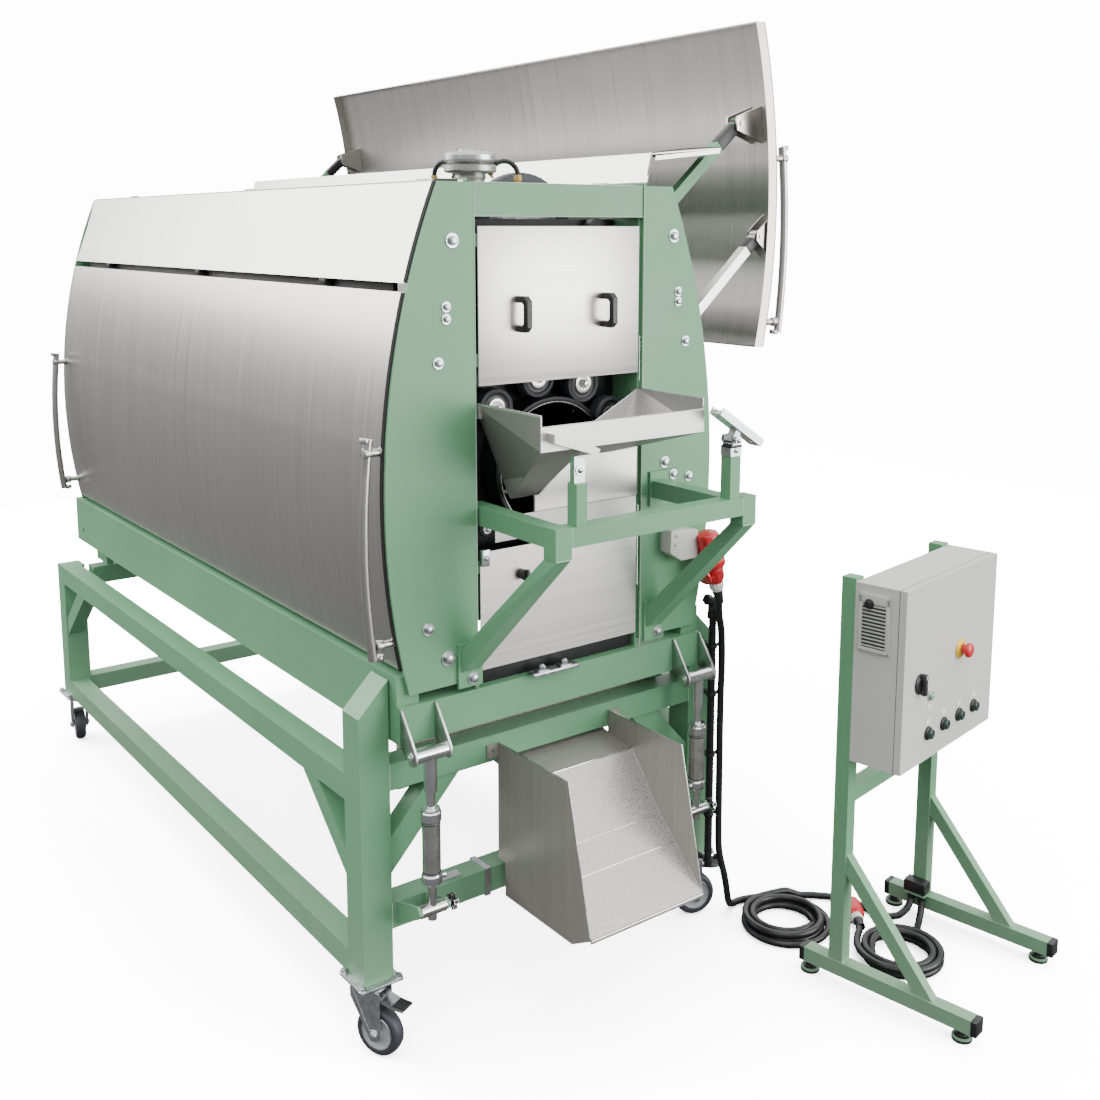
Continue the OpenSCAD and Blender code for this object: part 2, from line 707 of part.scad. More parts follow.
module hopper() color(STEEL) {
    side_x = hopper_x - 2;
    tray_y = guard_y + 1;
    low_left = [-side_x, lip_y, lip_z0];
    low_right = [side_x, lip_y, lip_z0];
    back_left = [-side_x, hop_y1 - 2, hopper_z];
    back_right = [side_x, tray_y, hopper_z];
    fold = [fold_x, lip_y, lip_z0];
    spout_left = [spout_x0, spout_y, spout_z];
    spout_right = [spout_x1, spout_y, spout_z];
    tray_left = [tray_x0, tray_y, tray_z];
    tray_right = [tray_x1, tray_y, tray_z];
    // Left side, the deep nose and its inner wall
    web([back_left, [-side_x, lip_y, hopper_z], low_left]);
    web([back_left, low_left, spout_left]);
    web([low_left, fold, spout_right, spout_left]);
    web([fold, spout_right, tray_left]);
    // Shallow tray and the right side
    web([fold, low_right, tray_right, tray_left]);
    web([back_right, low_right, tray_right]);
    web([back_right, [side_x, lip_y, hopper_z], low_right]);
    // Front lip and the spout's floor
    box([-hopper_x, lip_y - sheet, lip_z0 - 2], [hopper_x, lip_y, lip_z1]);
    box([spout_x0 + 22, spout_y, spout_z - 1], [spout_x1, neck_y0 + 60, spout_z + 1]);
    // Folded strip on the lip's left end
    slab_y([[-229, 1534], [-229, 1554], [-137, 1526], [-100, 1508], [-107, 1494]], lip_y - 30, lip_y - sheet - weld);
    // Lugs to the columns
    both() box([hopper_x - 6, hop_y1 - 26, hopper_z - 34], [open_x - 8 - seat, hop_y1, hopper_z - 4]);
    // Guard plate, which backs the tray, and the strip across the opening
    slab_y([[spout_x1 - 14, 1312], [panel_x, 1312], [panel_x, hopper_z - 2], [side_x, hopper_z - 2],
        [104, 1520], [tray_x0, tray_z], [spout_x1, spout_z + 1], [spout_x1 - 14, spout_z + 1]],
        guard_y, guard_y + sheet);
    box([left_arm_x + arm_s + 4, guard_y + sheet + weld, 1250], [panel_x, guard_y + 2 * sheet, 1310]);
    box([30, guard_y + sheet + weld, 1310 + weld], [60, guard_y + 2 * sheet, 1330]);
}

module hopper_frame() color(GREEN) {
    z0 = ring_z1 - arm_s;
    corner_z = z0 - 26;
    // Arms, and the plates that carry them on the columns
    box([left_arm_x, ring_y1 + arm_s + weld, z0], [left_arm_x + arm_s, front_y + 60, ring_z1]);
    box([right_arm_x, ring_y1 + arm_s + weld, z0], [right_arm_x + arm_s, foot_face_y - weld, ring_z1]);
    box([right_arm_x - 8, foot_face_y, z0 - 24], [right_arm_x + arm_s + 50, front_y - weld, ring_z1 + 24]);
    // Front bar and its corner posts
    box([left_arm_x + arm_s + weld, ring_y1, z0], [corner_x - weld, ring_y1 + arm_s, ring_z1]);
    for (x = [left_arm_x, corner_x])
        box([x, ring_y1, corner_z], [x + arm_s, ring_y1 + arm_s, ring_z1 + 2]);
    // Braces down to the columns, with their foot plates
    frame_brace(left_arm_x, -310, corner_z - weld);
    frame_brace(corner_x, right_arm_x - 16, corner_z - weld);
    box([-318, foot_face_y, 910], [-250, front_y - weld, 1019]);
    box([right_arm_x - 23, foot_face_y, 910], [right_arm_x + 45, front_y - weld, 1019]);
    // Upright posts for the bar rest
    box([left_arm_x + 62, post_y, ring_z1 + weld], [left_arm_x + 92, post_y + 34, ring_z1 + 96]);
    box([right_arm_x - 2, post_y, ring_z1 + weld], [right_arm_x + 32, post_y + 34, ring_z1 + 106]);
}

foot_face_y = front_y - 8;
module frame_brace(x_top, x_low, z) hull() {
    box([x_top + 2, ring_y1, z - 1], [x_top + arm_s - 2, ring_y1 + arm_s, z]);
    box([x_low, foot_face_y - weld - 1, 950], [x_low + arm_s + 6, foot_face_y - weld, 1008]);
}

left_head_x = left_arm_x + 62 + 15;
right_head_x = right_arm_x - 2 + 17;
head_y = post_y + 17;
bar_pivot_z = ring_z1 + 146;
module bar_heads() color(ZINC) {
    difference() {
        slab_y([[left_head_x - 15, ring_z1 + 96 + weld], [left_head_x + 15, ring_z1 + 96 + weld],
            [left_head_x + 15, ring_z1 + 150], [left_head_x - 15, ring_z1 + 158]],
            head_y - 8, head_y + 8);
        rod_y(6, head_y - 20, head_y + 20, left_head_x, ring_z1 + 126);
    }
    box([right_head_x - 18, head_y - 18, ring_z1 + 106 + weld], [right_head_x + 18, head_y + 18, ring_z1 + 132]);
    for (s = [-1, 1])
        box([right_head_x - 12, head_y + s * 13, ring_z1 + 132], [right_head_x + 12, head_y + s * 18, bar_pivot_z + 12]);
    rod_y(6, head_y - 24, head_y + 24, right_head_x, bar_pivot_z);
}

bar_lean = -33;
module slotted_bar() color(ZINC)
    translate([right_head_x, head_y, bar_pivot_z]) rotate([0, -bar_lean, 0]) {
        difference() {
            union() {
                box([-8, -12, -8], [8, 12, 26]);
                difference() {
                    box([-84, -20, 25], [84, 20, 45]);
                    box([-85, -16, 29], [85, 16, 46]);
                }
            }
            rod_y(6 + run, -30, 30, 0, 0);
            for (x = [-62, 62]) rod_z(6, 20, 60, x, 0);
        }
    }

// ---------- front panels ----------

panel_x = open_x - 8 - 4;
panel_z0 = 1634;
panel_z1 = body_top - 100;
module bridge_handle(x, y, z) {
    for (s = [-1, 1]) box([x - 9, y - 40, z + s * 34 - 8], [x + 9, y, z + s * 34 + 8]);
    box([x - 9, y - 46, z - 42], [x + 9, y - 30, z + 42]);
}

module upper_panel() color(STEEL) {
    difference() {
        box([-panel_x, front_y + 4, panel_z0], [panel_x, front_y + 8 - weld, panel_z1]);
    }
    for (s = [-1, 1]) color(DARK) bridge_handle(s * 131, front_y + 4 - weld, 1800);
}

knob_at = [-124, 1161];
module lower_door() color(STEEL) difference() {
    union() {
        box([-panel_x, front_y + 4, beam_top + 42], [panel_x, front_y + 8 - weld, 1232]);
        box([-panel_x - 2, front_y - 8, 1200], [-panel_x + 20, front_y + 4 - weld, 1240]);
    }
    rod_y(6, front_y, front_y + 10, knob_at[0], knob_at[1]);
}

module door_knob() color(DARK) {
    rod_y(13, front_y - 20, front_y + 4 - seat, knob_at[0], knob_at[1]);
    box([knob_at[0] - 5, front_y - 30, knob_at[1] - 15], [knob_at[0] + 5, front_y - 20, knob_at[1] + 15]);
    rod_y(6 - run, front_y + 4 - seat, front_y + 14, knob_at[0], knob_at[1]);
}

// ---------- power inlet and conduit ----------

inlet_x = 405;
inlet_z = 1150;
inlet_lean = 165;
inlet_at = [inlet_x + 50, front_y - 56, inlet_z];
module at_inlet() translate(inlet_at) rotate([0, inlet_lean, 0]) children();

module inlet_box() {
    color(GREY) slab_y([[inlet_x - 80, inlet_z], [inlet_x - 78, inlet_z + 62], [inlet_x + 20, inlet_z + 52],
        [inlet_x + 20, inlet_z - 26], [inlet_x - 40, inlet_z - 26]], front_y - 44, front_y - weld);
    color(RED) at_inlet() {
        rod_z(31, -44, 56, 0, 0);
        rod_z(36, 36, 50, 0, 0);
    }
}

module link_coupler() color(RED) at_inlet() {
    rod_z(26, 56 + weld, 100, 0, 0);
    rod_z(16, 100, 138, 0, 0);
}

// The spring lid, held up beside the plug
module inlet_lid() color(RED) at_inlet() {
    rod_y(6, -22, 22, 38 + seat, 30);
    translate([38 + seat, 0, 30]) rotate([0, 75, 0]) {
        rod_z(30, 8, 18, -34, 0);
        box([-20, -14, 8], [0, 14, 14]);
        box([-6, -14, 0], [6, 14, 10]);
    }
}

conduit_x = tilt_x + 46;
module conduit() color(DARK) {
    rod_z(11, 186, 960, conduit_x, front_y - 4);
    for (z = [200, 340, 520, 700, 840]) {
        rod_z(14, z, z + 10, conduit_x, front_y - 4);
        box([conduit_x - 6, front_y - 4, z], [conduit_x + 6, -weld, z + 10]);
    }
    rod_z(15, 930, 975, conduit_x, front_y - 4);
}

// ---------- covers and doors ----------

// The right cover, closed
module cover_closed() {
    slope = [[cover_x1, body_top], [cover_x0, cover_z0], [cover_x0 - sheet, cover_z0], [cover_x1 - sheet, body_top]];
    slab_y(slope, skin_y0, skin_y1);
    box([cover_hinge_x + 6, skin_y0, body_top], [cover_x1, skin_y1, body_top + sheet]);
    for (y = [skin_y0, skin_y1 - sheet])
        slab_y([[cover_x1 - sheet - weld, body_top - 12], [cover_x0 - sheet - weld, cover_z0],
            [cover_x0 - 15, cover_z0], [cover_x1 - 15, body_top - 12]], y, y + sheet);
    box([cover_x0 - 14, skin_y0 + 6, cover_z0], [cover_x0 - sheet - weld, skin_y1 - 6, cover_z0 + sheet]);
    for (y = [120, 1140, 2180]) difference() {
        union() {
            rod_y(8, y, y + 60, cover_hinge_x, cover_hinge_z);
            box([cover_hinge_x, y, body_top + 0.5], [cover_hinge_x + 10, y + 60, body_top + sheet]);
        }
        rod_y(hinge_rod_r + run, y - 1, y + 61, cover_hinge_x, cover_hinge_z);
    }
}

module left_cover() color(STEEL) mirror([1, 0, 0]) cover_closed();
module right_cover() color(STEEL)
    translate([cover_hinge_x, 0, cover_hinge_z]) rotate([0, -cover_swing, 0])
        translate([-cover_hinge_x, 0, -cover_hinge_z]) cover_closed();

// Curved grab bar on two standoffs
grab_r = 11;
grab_off = 44;
module grab_bar(y) {
    reach = side_r + grab_off;
    half = asin(258 / reach);
    translate([belly_x - side_r, y, belly_z - 94]) rotate([90, 0, 0]) rotate([0, 0, -half])
        rotate_extrude(angle = 2 * half, $fn = 720) translate([reach, 0]) circle(r = grab_r, $fn = 24);
    for (z = [belly_z - 94 - 226, belly_z - 94 + 226])
        rod_x(9, side_x(z) - 1, side_x(z) + grab_off + 2, y, z);
}

// Where a level lip meets the inside of the curved sheet
function lip_x(z) = min(side_x(z), side_x(z + sheet)) - sheet - weld;

// The right door, closed, with its brackets
qx1 = upper_px + arm_dx;
qz1 = upper_pz + arm_dz;
qx2 = lower_px + arm_dx;
qz2 = lower_pz + arm_dz;
module door_closed() {
    side_band(0, sheet, skin_y0, skin_y1, door_z0, door_z1);
    for (y = [skin_y0, skin_y1 - sheet])
        side_band(sheet + weld, fold, y, y + sheet, door_z0 + 2, door_z1 - 2);
    for (z = [door_z0, door_z1 - sheet])
        box([side_x(z) - fold, skin_y0 + 6, z], [lip_x(z), skin_y1 - 6, z + sheet]);
    door_end();
    translate([0, 2 * mid_y, 0]) mirror([0, 1, 0]) door_end();
}

module door_end() {
    grab_bar(skin_y0 + 10);
    // Upper bracket: two cheeks and a pin
    for (y = [upper_arm_y - arm_t / 2 - 9, upper_arm_y + arm_t / 2 + 3])
        slab_y([[qx1 - 18, qz1 - 18], [side_x(qz1 - 50) - sheet - weld, qz1 - 50],
            [side_x(qz1 + 50) - sheet - weld, qz1 + 50], [qx1 - 18, qz1 + 18]], y, y + 6);
    rod_y(arm_pin_r, upper_arm_y - arm_t / 2 - 12, upper_arm_y + arm_t / 2 + 12, qx1, qz1);
    // Lower bracket
    for (y = [lower_arm_y - arm_t / 2 - 7, lower_arm_y + arm_t / 2 + 3])
        slab_y([[qx2 - 16, qz2 - 12], [side_x(qz2 - 60) - sheet - weld, qz2 - 60],
            [side_x(qz2 + 60) - sheet - weld, qz2 + 60], [qx2 - 16, qz2 + 12]], y, y + 4);
    rod_y(arm_pin_r, lower_arm_y - arm_t / 2 - 9, lower_arm_y + arm_t / 2 + 9, qx2, qz2);
}

module left_door() color(STEEL) mirror([1, 0, 0]) door_closed();
module right_door() color(STEEL) translate([door_dx, 0, door_dz]) door_closed();

// An arm along local +X from its shaft
module arm(y, shaft_r, w) difference() {
    union() {
        rod_y(shaft_r + 7, y - arm_t / 2, y + arm_t / 2, 0, 0);
        box([0, y - arm_t / 2, -w / 2], [arm_l, y + arm_t / 2, w / 2]);
        rod_y(16, y - arm_t / 2, y + arm_t / 2, arm_l, 0);
    }
    rod_y(arm_pin_r + run, y - arm_t, y + arm_t, arm_l, 0);
}

// The upper arms share a shaft; each lower arm has a stub of its own
module upper_arms(turn) color(GREEN) translate([upper_px, 0, upper_pz]) rotate([0, -turn, 0]) {
    rod_y(arm_shaft_r, skin_y0 - 1, skin_y1 + 1, 0, 0);
    arm(upper_arm_y, arm_shaft_r, arm_w);
    arm(2 * mid_y - upper_arm_y, arm_shaft_r, arm_w);
}
module lower_arms(turn) color(GREY) translate([lower_px, 0, lower_pz]) rotate([0, -turn, 0]) {
    rod_y(low_shaft_r, skin_y0 - 1, lower_arm_y, 0, 0);
    arm(lower_arm_y, low_shaft_r, arm_w - 4);
    rod_y(low_shaft_r, 2 * mid_y - lower_arm_y, skin_y1 + 1, 0, 0);
    arm(2 * mid_y - lower_arm_y, low_shaft_r, arm_w - 4);
}

module left_upper_arms() mirror([1, 0, 0]) upper_arms(arm_closed);
module right_upper_arms() upper_arms(arm_open);
module left_lower_arms() mirror([1, 0, 0]) lower_arms(arm_closed);
module right_lower_arms() lower_arms(arm_open);

// ---------- control stand ----------

module at_stand() rotate([0, 0, stand_turn]) children();

module stand_side(x) {
    box([x - tube / 2, foot_y1 - foot_l, foot_z0], [x + tube / 2, foot_y1, foot_z1]);
    box([x - tube / 2, stand_y - tube / 2, foot_z1 + weld], [x + tube / 2, stand_y + tube / 2, post_top]);
    y0 = stand_y - tube / 2 - weld;
    slab_x([[y0, 320], [y0, 375], [y0 - 255, foot_z1 + weld], [y0 - 205, foot_z1 + weld]], x - 14, x + 14);
    for (y = [foot_y1 - 22, foot_y1 - foot_l + 42]) {
        color(DARK) rod_z(25, 0, 12, x, y);
        color(DARK) rod_z(9, 12, foot_z0 - weld, x, y);
    }
}

module stand_frame() color(GREEN) at_stand() {
    stand_side(stand_x);
    stand_side(stand_x + stand_w);
    box([stand_x + tube / 2 + weld, stand_y - tube / 2, 515], [stand_x + stand_w - tube / 2 - weld, stand_y + tube / 2, 555]);
    // Gland block at the foot of the right post
    box([stand_x + stand_w - tube / 2 - 36, stand_y - 34, 80], [stand_x + stand_w - tube / 2 - weld, stand_y + 30, 120]);
}

module cabinet() color(GREY) at_stand() {
    difference() {
        box([cab_x0, cab_y0, cab_z0], [cab_x1, cab_y1 - weld, cab_z1]);
        box([cab_x0 + 3, cab_y0 - 1, cab_z0 + 3], [cab_x1 - 3, cab_y1 - 4, cab_z1 - 3]);
    }
    // Grille and lock on the left side
    box([cab_x0 - 6, cab_y0 + 22, cab_z1 - 172], [cab_x0 - weld, cab_y1 - 14, cab_z1 - 22]);
    rod_x(9, cab_x0 - 18, cab_x0 - 6, cab_y1 - 44, cab_z1 - 48);
    // Lower halves of the two hinges, with their pins
    for (z = hinge_zs) {
        box([cab_x1 + weld, hinge_at[1], z], [hinge_at[0], cab_y0 + 24, z + 20]);
        rod_z(5, z, z + 20, hinge_at[0], hinge_at[1]);
        rod_z(3, z, z + 40, hinge_at[0], hinge_at[1]);
    }
}

// Hinge axis of the cabinet's door, and the hinges' heights
hinge_at = [cab_x1 + 6, cab_y0 - 1];
hinge_zs = [cab_z0 + 60, cab_z1 - 100];

module cabinet_door() color(GREY) at_stand() difference() {
    union() {
        box([cab_x0, panel_y, cab_z0], [cab_x1, panel_y + 3, cab_z1]);
        difference() {
            box([cab_x0, panel_y, cab_z0], [cab_x1, cab_y0 - seat * 3, cab_z1]);
            box([cab_x0 + 3, panel_y - 1, cab_z0 + 3], [cab_x1 - 3, cab_y0 + 1, cab_z1 - 3]);
        }
        rod_y(24, panel_y - 3, panel_y, stop_at[0], stop_at[1]);
        for (z = hinge_zs) {
            rod_z(5, z + 20 + weld, z + 40, hinge_at[0], hinge_at[1]);
            box([cab_x1 - 2, panel_y + 4, z + 20 + weld], [cab_x1 + 4, hinge_at[1], z + 40]);
        }
    }
    for (z = hinge_zs) rod_z(3 + run, z + 15, z + 41, hinge_at[0], hinge_at[1]);
    rod_y(9, panel_y - 4, panel_y + 5, stop_at[0], stop_at[1]);
    rod_y(8, panel_y - 1, panel_y + 5, switch_at[0], switch_at[1]);
    for (x = button_xs) rod_y(8, panel_y - 1, panel_y + 5, x, button_z);
}

stop_at = [cab_x0 + 310, cab_z0 + 258];
switch_at = [cab_x0 + 86, cab_z0 + 220];
module main_switch() color(DARK) at_stand() {
    rod_y(27, panel_y - 6, panel_y - seat, switch_at[0], switch_at[1]);
    box([switch_at[0] - 7, panel_y - 20, switch_at[1] - 28], [switch_at[0] + 7, panel_y - 6, switch_at[1] + 28]);
    rod_y(8 - run, panel_y - seat, panel_y + 8, switch_at[0], switch_at[1]);
}

module stop_button() color(RED) at_stand() {
    rod_y(19, panel_y - 34, panel_y - 20, stop_at[0], stop_at[1]);
    rod_y(12, panel_y - 20, panel_y - 9, stop_at[0], stop_at[1]);
    rod_y(9 - run, panel_y - 9, panel_y + 10, stop_at[0], stop_at[1]);
}

module push_button(i) color(DARK) at_stand() {
    rod_y(13, panel_y - 16, panel_y - 5, button_xs[i], button_z);
    rod_y(8 - run, panel_y - 5, panel_y + 9, button_xs[i], button_z);
}

// ---------- cables ----------

function unit(v) = v / norm(v);
function spline(p, q, r, s, t) = 0.5 * (2 * q + (r - p) * t + (2 * p - 5 * q + 4 * r - s) * t * t
    + (3 * q - p - 3 * r + s) * t * t * t);
function smooth(pts, n) = let (last = len(pts) - 1) concat(
    [for (i = [0 : last - 1]) for (k = [0 : n - 1])
        spline(pts[max(i - 1, 0)], pts[i], pts[i + 1], pts[min(i + 2, last)], k / n)],
    [pts[last]]);
function tangent(path, i) = unit(path[min(i + 1, len(path) - 1)] - path[max(i - 1, 0)]);
function carried(path, i) = i == 0
    ? let (t = tangent(path, 0)) unit(cross(t, abs(t[2]) > 0.9 ? [1, 0, 0] : [0, 0, 1]))
    : let (n = carried(path, i - 1), t = tangent(path, i)) unit(n - (n * t) * t);
function ring_at(path, i, r, sides) = let (t = tangent(path, i), n = carried(path, i), b = cross(t, n))
    [for (k = [0 : sides - 1]) path[i] + r * (cos(360 * k / sides) * n + sin(360 * k / sides) * b)];

module cable(points, steps) {
    path = smooth(points, steps);
    sides = 8;
    count = len(path);
    rings = [for (i = [0 : count - 1]) each ring_at(path, i, cable_r, sides)];
    walls = [for (i = [0 : count - 2]) for (k = [0 : sides - 1])
        [i * sides + k, i * sides + (k + 1) % sides, (i + 1) * sides + (k + 1) % sides, (i + 1) * sides + k]];
    polyhedron(points = rings, faces = concat(
        [[for (k = [sides - 1 : -1 : 0]) k]],
        [for (f = walls) [f[0], f[1], f[2], f[3]]],
        [[for (k = [0 : sides - 1]) (count - 1) * sides + k]]));
}

module coil(at, r) {
    translate([at[0], at[1], 0]) rotate_extrude() translate([r - 56, 1]) square([56, coil_h]);
}

module link_cable() color(DARK) {
    cable(link_points, 2);
    cable(link_out_points, 2);
}
module link_coil() color(DARK) coil(link_coil_at, 140);
module mains_cable() color(DARK) {
    cable(mains_points, 2);
    cable(mains_in_points, 2);
}
module mains_coil() color(DARK) coil(mains_coil_at, 118);
module mains_plug() color(RED) translate([850, -336, 31]) rotate([0, 90, 56]) {
    rod_z(16, 0, 30, 0, 0);
    rod_z(30, 30, 92, 0, 0);
}

// ---------- one call for each sub-part ----------

base_frame();
base_fittings();
caster_fork(0);  // caster_fork_1
caster_fork(1);  // caster_fork_2
caster_fork(2);  // caster_fork_3
caster_fork(3);  // caster_fork_4
caster_wheel(0);  // caster_wheel_1
caster_wheel(1);  // caster_wheel_2
caster_wheel(2);  // caster_wheel_3
caster_wheel(3);  // caster_wheel_4
caster_pedal(0);  // caster_pedal_1
caster_pedal(1);  // caster_pedal_2
discharge_chute();
lift_barrels();
lift_rods();
tilt_frame();
front_frame();
rear_frame();
frame_bolts();
roller_plate();
drum();
guide_roller(0);  // guide_roller_1
guide_roller(1);  // guide_roller_2
guide_roller(2);  // guide_roller_3
guide_roller(3);  // guide_roller_4
drive_wheel();
gear_motor();
hopper();
hopper_frame();
bar_heads();
slotted_bar();
upper_panel();
lower_door();
door_knob();
inlet_box();
inlet_lid();
conduit();
left_cover();
right_cover();
left_door();
right_door();
left_upper_arms();
right_upper_arms();
left_lower_arms();
right_lower_arms();
stand_frame();
cabinet();
cabinet_door();
main_switch();
stop_button();
push_button(0);  // push_button_1
push_button(1);  // push_button_2
push_button(2);  // push_button_3
push_button(3);  // push_button_4
link_cable();
link_coil();
link_coupler();
mains_cable();
mains_coil();
mains_plug();
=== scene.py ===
"""Looks of a tilting rotary drum machine and its control stand.

Sizes are in millimetres while a piece is shaped, and every finished mesh is in metres.
X runs to the right across the front, Y from the front to the back, and Z up from the floor.
"""

import logging
import math
from dataclasses import dataclass, field
from enum import Enum
from typing import Iterable, Sequence

import bmesh
import bpy
from mathutils import Matrix, Vector


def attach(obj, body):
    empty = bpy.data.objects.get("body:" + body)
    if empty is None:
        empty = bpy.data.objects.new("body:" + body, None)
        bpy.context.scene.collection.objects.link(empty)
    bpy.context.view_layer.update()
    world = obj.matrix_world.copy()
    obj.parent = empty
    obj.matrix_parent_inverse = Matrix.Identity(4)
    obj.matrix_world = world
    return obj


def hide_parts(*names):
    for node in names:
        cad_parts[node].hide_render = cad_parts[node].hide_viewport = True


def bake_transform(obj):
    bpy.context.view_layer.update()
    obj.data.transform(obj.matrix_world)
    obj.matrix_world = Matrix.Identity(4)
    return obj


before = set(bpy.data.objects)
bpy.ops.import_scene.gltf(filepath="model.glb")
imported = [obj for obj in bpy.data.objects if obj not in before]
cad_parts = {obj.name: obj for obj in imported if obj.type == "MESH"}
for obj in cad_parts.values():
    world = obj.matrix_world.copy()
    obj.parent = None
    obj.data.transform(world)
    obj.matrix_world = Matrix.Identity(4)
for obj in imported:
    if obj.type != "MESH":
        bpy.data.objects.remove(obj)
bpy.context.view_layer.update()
log = logging.getLogger("drum_machine")

MM = 0.001
FRONT = Vector((0, -1, 0))
UP = Vector((0, 0, 1))
BROAD_EDGING = 4.0
SLIM_EDGING = 1.4
Point = tuple[float, float, float]
Colour = tuple[float, float, float]


class Grain(Enum):
    """The way in which brushed steel was brushed, as how fine its streaks are along X, Y and Z."""

    ACROSS = (0.9, 330.0, 330.0)
    UP = (330.0, 330.0, 0.9)
    AROUND = (0.9, 330.0, 0.9)


class Axis(Enum):
    """The axis that a round part or a flat outline is built on."""

    X = (1.0, 0.0, 0.0)
    Y = (0.0, 1.0, 0.0)
    Z = (0.0, 0.0, 1.0)


# ---------------------------------------------------------------- finishes


class Nodes:
    """Builds shader nodes in the tree of a material or a world."""

    def __init__(self, owner: bpy.types.Material | bpy.types.World) -> None:
        """Start with an emptied tree.

        Args:
            owner: the material or the world that the nodes are for.
        """
        owner.use_nodes = True
        self.tree = owner.node_tree
        self.tree.nodes.clear()

    def feed(self, target: bpy.types.NodeSocket, value: object) -> None:
        """Give an input a socket to follow, or a value.

        Args:
            target: the input.
            value: the socket or the value.
        """
        if isinstance(value, bpy.types.NodeSocket):
            self.tree.links.new(value, target)
        else:
            target.default_value = value

    def add(self, kind: str, **inputs: object) -> bpy.types.Node:
        """Add a node and feed its inputs.

        Args:
            kind: its type, without the ShaderNode in front.
            **inputs: a socket or a value for each input. Underscores stand for spaces.

        Returns:
            The node.
        """
        node = self.tree.nodes.new(f"ShaderNode{kind}")
        for key, value in inputs.items():
            self.feed(node.inputs[key.replace("_", " ")], value)
        return node

    def ranged(self, value: bpy.types.NodeSocket, a: float, b: float, c: float, d: float) -> bpy.types.NodeSocket:
        """Map a value from the range a to b onto the range c to d, held at its ends.

        Args:
            value: the socket that is mapped.
            a: the value that becomes c.
            b: the value that becomes d.
            c: the first result.
            d: the last result.

        Returns:
            The mapped value's socket.
        """
        return self.add("MapRange", Value=value, From_Min=a, From_Max=b, To_Min=c, To_Max=d).outputs["Result"]

    def combine(self, operation: str, first: object, second: object) -> bpy.types.NodeSocket:
        """Add or multiply two values.

        Args:
            operation: ADD or MULTIPLY.
            first: a value, or its socket.
            second: a value, or its socket.

        Returns:
            The result's socket.
        """
        node = self.add("Math")
        node.operation = operation
        self.feed(node.inputs[0], first)
        self.feed(node.inputs[1], second)
        return node.outputs["Value"]

    def seen_or_thrown(self, seen: float, thrown: object) -> bpy.types.NodeSocket:
        """Return one value for what is seen directly and another for the light that is thrown.

        Args:
            seen: the value for what is seen directly.
            thrown: the other value, or its socket.

        Returns:
            The value's socket.
        """
        pick = self.add("Mix", Factor=self.add("LightPath").outputs["Is Camera Ray"])
        self.feed(pick.inputs[2], thrown)
        self.feed(pick.inputs[3], seen)
        return pick.outputs[0]


class Surface(Nodes):
    """Builds the shader nodes of one finish, round a Principled shader."""

    def __init__(self, name: str) -> None:
        """Start a material.

        Args:
            name: the material's name.
        """
        self.material = bpy.data.materials.new(name)
        super().__init__(self.material)
        self.shader = self.add("BsdfPrincipled")
        self.add("OutputMaterial", Surface=self.shader.outputs["BSDF"])
        self.spot = self.add("TexCoord").outputs["Object"]

    def set(self, **inputs: object) -> None:
        """Feed the shader's own inputs, such as Base_Color. Underscores stand for spaces."""
        for key, value in inputs.items():
            self.feed(self.shader.inputs[key.replace("_", " ")], value)

    def noise(self, scale: Sequence[float], detail: float = 3.0, roughness: float = 0.5) -> bpy.types.NodeSocket:
        """Add a noise on the piece's own coordinates.

        Args:
            scale: how fine it is along X, Y and Z, in waves a metre.
            detail: how many octaves it has.
            roughness: how strong the finer octaves are.

        Returns:
            The noise's value socket.
        """
        waves = self.add("Mapping", Scale=scale, Vector=self.spot).outputs["Vector"]
        return self.add("TexNoise", Scale=1.0, Detail=detail, Roughness=roughness, Vector=waves).outputs["Fac"]

    def height(self, low: float, high: float) -> bpy.types.NodeSocket:
        """Add a value that goes from 0 at one height over the floor to 1 at another.

        Args:
            low: the height where it is 0, in metres.
            high: the height where it is 1, in metres.

        Returns:
            The value's socket.
        """
        return self.ranged(self.add("SeparateXYZ", Vector=self.spot).outputs["Z"], low, high, 0.0, 1.0)

    def blend(self, factor: bpy.types.NodeSocket, first: object, second: object) -> bpy.types.NodeSocket:
        """Blend two colours by a value.

        Args:
            factor: 0 gives the first colour and 1 the second.
            first: a colour, or a colour socket.
            second: a colour, or a colour socket.

        Returns:
            The blended colour's socket.
        """
        node = self.add("Mix", Factor=factor)
        node.data_type = "RGBA"
        for target, colour in ((node.inputs[6], first), (node.inputs[7], second)):
            self.feed(target, colour if isinstance(colour, bpy.types.NodeSocket) else (*colour, 1.0))
        return node.outputs[2]

    def bump(self, value: bpy.types.NodeSocket, strength: float, depth: float) -> None:
        """Raise the surface by a value.

        Args:
            value: the height, from 0 to 1.
            strength: how strong it shows.
            depth: the height of 1, in metres.
        """
        self.set(Normal=self.add("Bump", Strength=strength, Distance=depth, Height=value).outputs["Normal"])


@dataclass(frozen=True)
class Finish:
    """A finish that makes its material once."""

    name: str
    colour: Colour
    rough: float = 0.5

    def material(self) -> bpy.types.Material:
        """Find the material, or make it at the first call.

        Returns:
            The material.
        """
        found = bpy.data.materials.get(self.name)
        if found is None:
            nodes = Surface(self.name)
            self.build(nodes)
            found = nodes.material
        return found

    def shade(self, factor: float) -> Colour:
        """Return the colour, darker or lighter by a factor."""
        return tuple(min(1.0, c * factor) for c in self.colour)

    def build(self, nodes: Surface) -> None:
        """Fill the material's nodes.

        Args:
            nodes: the builder of its nodes.
        """
        raise NotImplementedError


